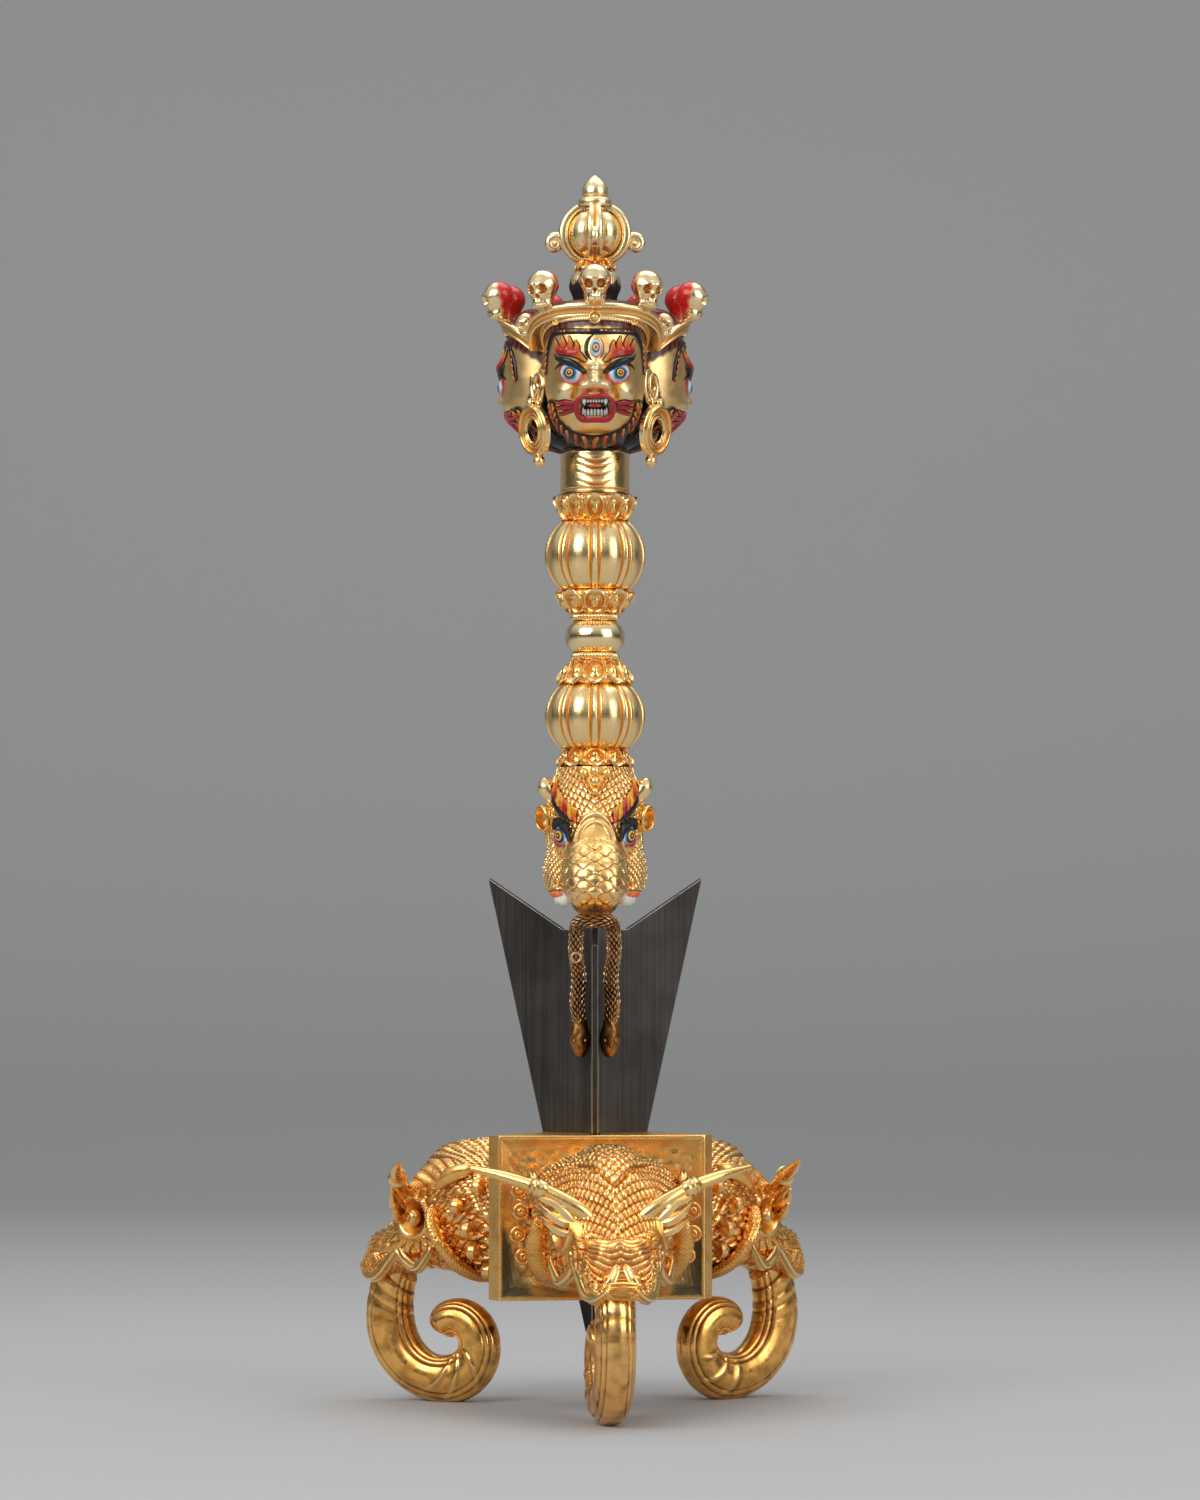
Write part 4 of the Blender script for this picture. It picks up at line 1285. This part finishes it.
plate = np.concatenate([front, back, middle]) + np.array([0, 0, STAND_TOP - PLATE_H / 2])
in_cove = step(inset - 1.0, 0.1) * step(3.2 - inset, 0.25)
patch = step(inset - 0.9, 0.1) * step(np.abs(y) - 25.4 - 0.45 * z - 0.3 * np.sin(2 * z), 0.4)
cover = np.clip(0.35 * in_cove + 0.9 * patch * (0.85 + 0.15 * np.sin(6 * y + z)), 0, 1)
tint = np.array([0.075, 0.062, 0.026, 1]) * np.ones(cover.shape + (1,))
tint[..., 3] = cover
tint = np.concatenate([tint, np.zeros((2, 256, 4))])
plate_gold = painted(gilt("plate_gilding", (1.0, 0.6, 0.18), (0.66, 0.27, 0.04), (300, 300, 1500), 0.5, 0.2, 0.6), 0.22)
for k, side in enumerate(SIDES):
    settle(casting("face_plate_" + side + "_hammered", [on_side(plate, k)], 0.45, 1, paints=[tint]),
           "stand", "bright_gold", plate_gold, "face_plate_" + side)
corner_gold = gilt("corner_gilding", (0.95, 0.59, 0.19), (0.5, 0.2, 0.03), (900, 900, 300), 0.4, 0.24, 0.6)
for node, slot, finish in (("top_plate", "bright_gold", corner_gold), ("corner_strips", "chased_gold", corner_gold)):
    piece = eased(node, 0.00025, finish)
    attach(piece, "stand")
for node, finish in (("socket_cone", corner_gold), ("tang_rod", steel)):
    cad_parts[node].data.materials.clear()
    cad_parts[node].data.materials.append(finish)

# Stand monsters: a cast makara head bursts out of each plate. Its forehead is shingled with scales in a
# dome and two side lobes, the snout is wrinkled, ribbed fans run back from the eyes, and the hide is chased.
SNOUT, MONSTER_W, FOREHEAD = 64.0, 44.0, 66.3
MONSTER = spline([
    [0, -3.9, 3.4, 1], [0.16, -0.4, 3, 0.99], [0.34, 0, 2.6, 0.9], [0.5, -2, 3.5, 0.74], [0.62, -7.5, 5, 0.6],
    [0.7, -14.5, 5, 0.5], [0.78, -20.5, 4, 0.44], [0.87, -23.5, 3, 0.38], [0.95, -28.5, 3, 0.28], [1, -32, 4.5, 0.14]], 18)
body_x = FIELD_X + MONSTER[:, 0] * (SNOUT - FIELD_X)
body_top, body_low, body_half = FOREHEAD + MONSTER[:, 1], STAND_LOW + MONSTER[:, 2], MONSTER[:, 3] * MONSTER_W / 2


def cheek_y(x, z):
    """Sideways place of the cheek's skin at a distance out and a height."""
    top, low, wide = (np.interp(x, body_x, line) for line in (body_top, body_low, body_half))
    d = np.clip(np.abs(2 * z - top - low) / (top - low), 0, 0.97)
    return wide * (1 - d ** 2.5) ** 0.4


def pushed(rings, relief):
    """Rings moved out along their normals by the relief, in millimetres."""
    down = np.gradient(rings, axis=0)
    across = np.roll(rings, -1, 1) - np.roll(rings, 1, 1)
    normal = np.cross(across, down)
    normal /= np.linalg.norm(normal, axis=-1, keepdims=True) + 1e-9
    middle = rings.mean(1, keepdims=True)
    flip = np.sign(((rings - middle) * normal).sum(-1, keepdims=True).mean(1, keepdims=True))
    return rings + normal * flip * relief[..., None]


way = np.linspace(-90, 270, 400, endpoint=False)[None, :]
c, d = np.cos(np.radians(way)), np.sin(np.radians(way))
tall = ((body_top - body_low) / 2)[:, None]
hide = np.stack([body_x[:, None] + 0 * c, body_half[:, None] * np.sign(c) * np.abs(c) ** 0.8,
                 body_low[:, None] + tall + tall * np.sign(d) * np.abs(d) ** 0.8], -1)
lengths = np.linalg.norm(np.diff(hide, axis=1, prepend=hide[:, -1:]), axis=-1)
across = np.cumsum(lengths, axis=1)
across = across - across[:, 200:201]
crest = np.stack([body_x, body_top], 1)
along = np.concatenate([[0], np.cumsum(np.linalg.norm(np.diff(crest, axis=0), axis=1))])[:, None]
x, y, z = hide[..., 0], hide[..., 1], hide[..., 2]
m, t = np.abs(y), np.abs(across)
forehead = step(48.2 - along, 0.4) * step(5.0 + 0.62 * (48 - along) - t, 0.5)
in_dome = step((35 - along) * 0.8 - t, 0.3)
shingles = in_dome * scales(across, -along, 2.3, 1.35) + (1 - in_dome) * scales(across, 0.45 * t - along, 2.3, 1.35)
relief = forehead * (0.6 * shingles - 0.2)
relief = relief - 2.0 * step(31 - along, 2.5) * (1 - np.exp(-(t / 6.5) ** 4))
relief = relief - 0.7 * np.exp(-((t - (35 - along) * 0.8) / 0.55) ** 2) * step(35.5 - along) * step(along - 22)
relief = relief + 0.9 * swell(t, along, 0, 28, 5, 5) + 1.0 * swell(t, along, 10.5, 33, 4, 6)
nose = step(along - 48.6, 0.3) * step(59 - along, 0.3) * step(8.5 - t, 0.4)
relief = relief + nose * 0.3 * np.cos(2 * math.pi * (along + 0.14 * across ** 2 - 0.5 * t) / 1.7)
relief = relief + 1.1 * swell(t, along, 5.0, 55, 2.2, 2.4) + 0.9 * swell(t, along, 0, 52.5, 1.8, 2.6)
relief = relief - 1.0 * swell(t, along, 4.4, 59.3, 1.5, 0.9) - 0.5 * np.exp(-((along - 60.3) / 0.5) ** 2) * step(9 - t)
eye_far = np.sqrt((x - 44.5) ** 2 + (m - 13.4) ** 2 + (z - 47) ** 2)
relief = relief - 2.6 * np.exp(-(eye_far / 3.1) ** 2) + 0.8 * np.exp(-((eye_far - 4.9) / 0.9) ** 2)
flank = (1 - forehead) * step(38 - x, 0.8) * step(m - 8, 0.8)
relief = relief + flank * 0.8 * (scales(across + 0.4 * x, x, 3.8, 2.7) - 0.45)
cheek = (1 - forehead) * (1 - nose) * step(x - 38, 0.8)
fold = np.hypot(x - 46, z - 46)
fan = np.arctan2(z - 46, 46 - x)
relief = relief + cheek * 0.6 * (scales(fan * 7, -fold, 2.6, 2.1) - 0.45) * step(fold - 5.5, 0.4)
beard = step(38.5 - z, 0.4) * step(x - 47, 0.5)
relief = relief + beard * 0.35 * (scales(x + 0.5 * z, z, 1.1, 0.6) - 0.5)
relief = relief + 0.12 * np.sin(1.1 * x + 0.9 * y) * np.sin(0.8 * z + 0.5 * y)
relief = relief * step(x - FIELD_X - 1.0, 0.3)
hide = pushed(hide, relief)
hide_gold = gilt("chased_gilding", (0.97, 0.51, 0.125), (0.55, 0.18, 0.02), (700, 700, 700), 0.2, 0.2, 0.6)
for k, side in enumerate(SIDES):
    grids = [on_side(hide, k)]
    for flip in (1, -1):
        sweep = np.radians(np.linspace(-88, 88, 22))
        pupil = 0.35 * np.exp(-((np.degrees(sweep) - 62) / 7) ** 2)
        eye = faced(turned((2.1 - pupil) * np.cos(sweep), (2.1 - pupil) * np.sin(sweep), 40), 58, 0, 0, 90)
        grids.append(on_side((eye + np.array([44.3, 12.9, 47.0])) * np.array([1, flip, 1]), k))
    settle(casting("monster_" + side + "_chased", grids, 0.21, 1), "stand", "chased_gold", hide_gold, "monster_" + side)

# What is brazed on each monster: horn bars with a collar and curled flames under them, pitted mane bands
# with ringed bosses and leaf ears, and the waved lip.
horn_gold = gilt("horn_gilding", (1.0, 0.63, 0.21), (0.66, 0.27, 0.04), (1500, 1500, 1500), 0.3, 0.16, 0.4)


def both_sides(rings):
    """Rings of a piece on one cheek and of its mirror image on the other."""
    return [rings, rings * np.array([1, -1, 1])]


bar = spline([(46.5, 3.4, 46.5, 1.5), (47.4, 4.6, 48, 2.0), (48.5, 9, 52, 1.95), (46.5, 17, 56.5, 1.7), (42.5, 26, 59.5, 1.45),
              (38, 34, 61.5, 0.6)], 18)
run = np.linspace(0, 1, len(bar))
ringed = 0.55 * sum(np.exp(-((run - at) / 0.008) ** 2) for at in (0.605, 0.63, 0.655)) + 0.35 * np.exp(-((run - 0.63) / 0.03) ** 2)
bar_grids = both_sides(tube(bar[:, :3], (bar[:, 3] + ringed)[:, None], 32, (1, 0, 0)))
for knots in (
    [(46.5, 7, 46.5, 0.8), (47.6, 9.5, 48.3, 1.5), (48.4, 12, 51, 1.6), (48.2, 14.4, 53.2, 1.3), (47.6, 17.6, 54.6, 0.9), (47.0, 19.2, 56, 0.3)],
    [(47.4, 10, 48.4, 0.9), (48.6, 12.6, 48.9, 1.4), (48.6, 15.4, 50.4, 1.3), (47.9, 17.6, 52.4, 0.8), (47.4, 19.0, 53.8, 0.25)],
    [(46.8, 9.4, 46.8, 0.8), (48.2, 11.6, 46.3, 1.2), (48.4, 14.0, 47.0, 1.25), (47.8, 16.4, 48.6, 0.9), (47.2, 18.2, 50.2, 0.25)],
    [(47.2, 11.5, 50.8, 0.9), (48.9, 12.6, 52.2, 1.0), (48.6, 11.4, 53.3, 0.8), (48.4, 10.6, 52.4, 0.35)],
):
    flame = spline(knots, 9)
    groove = -0.18 * np.abs(np.cos(np.linspace(0, 2 * math.pi, 18, endpoint=False)[None, :] * 2.5))
    bar_grids += both_sides(tube(flame[:, :3], flame[:, 3:4], 18, (1, 0, 0), relief=groove * flame[:, 3:4]))

mane_grids = []
band = spline([(37.5, 49.5, 0.9), (37, 48.5, 1.6), (36, 44.5, 2.5), (33, 39, 2.5), (30, 35, 2.5), (27, 32.5, 1.8), (25, 31.3, 0.5)], 18)
path = np.stack([band[:, 0], cheek_y(band[:, 0], band[:, 1]) - 0.4, band[:, 1]], 1)
run = np.concatenate([[0], np.cumsum(np.linalg.norm(np.diff(path, axis=0), axis=1))])[:, None]
around = np.linspace(0, 2 * math.pi, 60, endpoint=False)[None, :]
pits = -0.34 * np.clip(np.cos(2 * math.pi * run / 0.95) * np.cos(12 * around), 0, 1) ** 1.5
mane_grids += both_sides(tube(path, band[:, 2:3] + 0 * around, 60, (0, 0, 1), 0.7, relief=pits))
for x0, z0 in ((28.5, 50.5), (25.4, 44.7), (24.4, 39.4), (22.4, 34.4), (22.6, 55.4)):
    profile = spline([(2.1, -1.2), (2.15, 0.1), (1.95, 0.75), (1.6, 0.9), (1.35, 0.65), (1.15, 0.75), (0.9, 1.25), (0.5, 1.45), (0.3, 1.2),
                      (0.05, 1.1)], 3)
    boss = turned(profile[:, 0], profile[:, 1], 32)[..., [1, 2, 0]]
    boss = np.stack([boss[..., 1], boss[..., 0], boss[..., 2]], -1)
    mane_grids += both_sides(boss + np.array([x0, float(cheek_y(x0, z0)) + 0.25, z0]))
leaf = spline([(35.5, 54.6, 0.3), (35, 55, 1), (31.5, 58, 2.2), (27, 59.5, 1.8), (24.5, 60.5, 0.4)], 13)
path = np.stack([leaf[:, 0], cheek_y(leaf[:, 0], leaf[:, 1]), leaf[:, 1]], 1)
veins = -0.45 * np.exp(-(np.sin(np.linspace(0, 2 * math.pi, 32, endpoint=False)) / 0.35) ** 2)[None, :] * leaf[:, 2:3] / 2.2
mane_grids += both_sides(tube(path, leaf[:, 2:3], 32, (0, 1, 0), 0.6, relief=veins))

lip_path = spline([(38.6, 14.6, 40, 0.5), (39.5, 14.5, 38, 0.9), (43, 13, 34.4, 1.3), (47, 11.2, 35.8, 1.3), (50, 9.8, 38.4, 1.3),
                   (53, 9, 35.6, 1.3), (56.5, 7.8, 32, 1.3), (60, 5.8, 31.6, 1.4), (62.2, 3.2, 34.4, 1.3), (61, 1.5, 38, 1.15),
                   (60, 0.9, 39.4, 0.4)], 12)
line = 0.16 * np.cos(4 * np.linspace(0, 2 * math.pi, 28, endpoint=False))[None, :]
lip_grids = both_sides(tube(lip_path[:, :3], lip_path[:, 3:4], 28, (0.3, 0.2, 1), relief=line * lip_path[:, 3:4]))
for k, side in enumerate(SIDES):
    for name, rings, slot, finish in (("horns", bar_grids, "chased_gold", horn_gold), ("mane", mane_grids, "chased_gold", hide_gold),
                                      ("lip", lip_grids, "bright_gold", horn_gold)):
        settle(casting(name + "_" + side + "_cast", [on_side(g, k) for g in rings], 0.32, 1), "stand", slot, finish, name + "_" + side)

# Trunk legs: a polished elephant trunk leaves each mouth and coils inwards to make the foot, with fine
# lines along both edges, rings under the mouth and a flat worn on the sole.
LEG_W, LEG_D, EYE_R, LEG_SET, FOOT_FLAT = 9.6, 13.4, 38.6, 1.0, 0.25
EYE_Z = 9.2 + 0.95 * LEG_D / 2 - FOOT_FLAT
coil = spline([
    [52, 24.5, 0.86], [28, 20.6, 0.98], [0, 17.2, 1.04], [-30, 13.6, 1], [-60, 10.7, 0.97], [-90, 9.2, 0.95], [-120, 8.1, 0.9],
    [-150, 7.2, 0.85], [-180, 6.6, 0.8], [-210, 6.3, 0.77], [-240, 6.1, 0.74], [-270, 5.9, 0.71], [-300, 5.6, 0.66],
    [-322, 5.1, 0.5], [-330, 4.9, 0.2]], 14)
at, far, thick = coil[:, :1], coil[:, 1:2], coil[:, 2:3] * LEG_D / 2
way = np.linspace(0, 2 * math.pi, 120, endpoint=False)[None, :]
wide = np.minimum(1, coil[:, 2:3] * 1.6) * LEG_W / 2
outward = thick * np.cos(way)
reach = far + outward
leg = np.stack([EYE_R + reach * np.cos(np.radians(at)), wide * np.sin(way), EYE_Z + reach * np.sin(np.radians(at))], -1)
edge = np.degrees(way)
lines = sum(0.34 * np.exp(-((np.abs((edge + 180) % 360 - 180) - line_at) / 4.0) ** 2) for line_at in (36, 54, 126, 144))
rings_on = 0.28 * np.exp(-((((at + 6) % 9) - 4.5) / 1.0) ** 2) * step(at - 18, 2)
wave = 0.45 * np.exp(-((np.sin(2 * way + np.radians(at) * 5) - 0.2) / 0.35) ** 2) * step(-at - 62, 4) * step(at + 150, 4) * np.abs(np.sin(way)) ** 2
leg = pushed(leg, 0.12 - lines - rings_on + wave)
leg[..., 2] = np.maximum(leg[..., 2], 0)
leg_gold = gilt("leg_gilding", (1.0, 0.53, 0.14), (0.3, 0.11, 0.015), (600, 600, 600), 0.2, 0.15, 0.95)
for k, side in enumerate(SIDES):
    offset = np.array([0, -LEG_SET if side == "front" else 0, 0])
    settle(casting("trunk_leg_" + side + "_polished", [on_side(leg + offset, k)], 0.24, 1), "stand", "bright_gold", leg_gold,
           "trunk_leg_" + side)
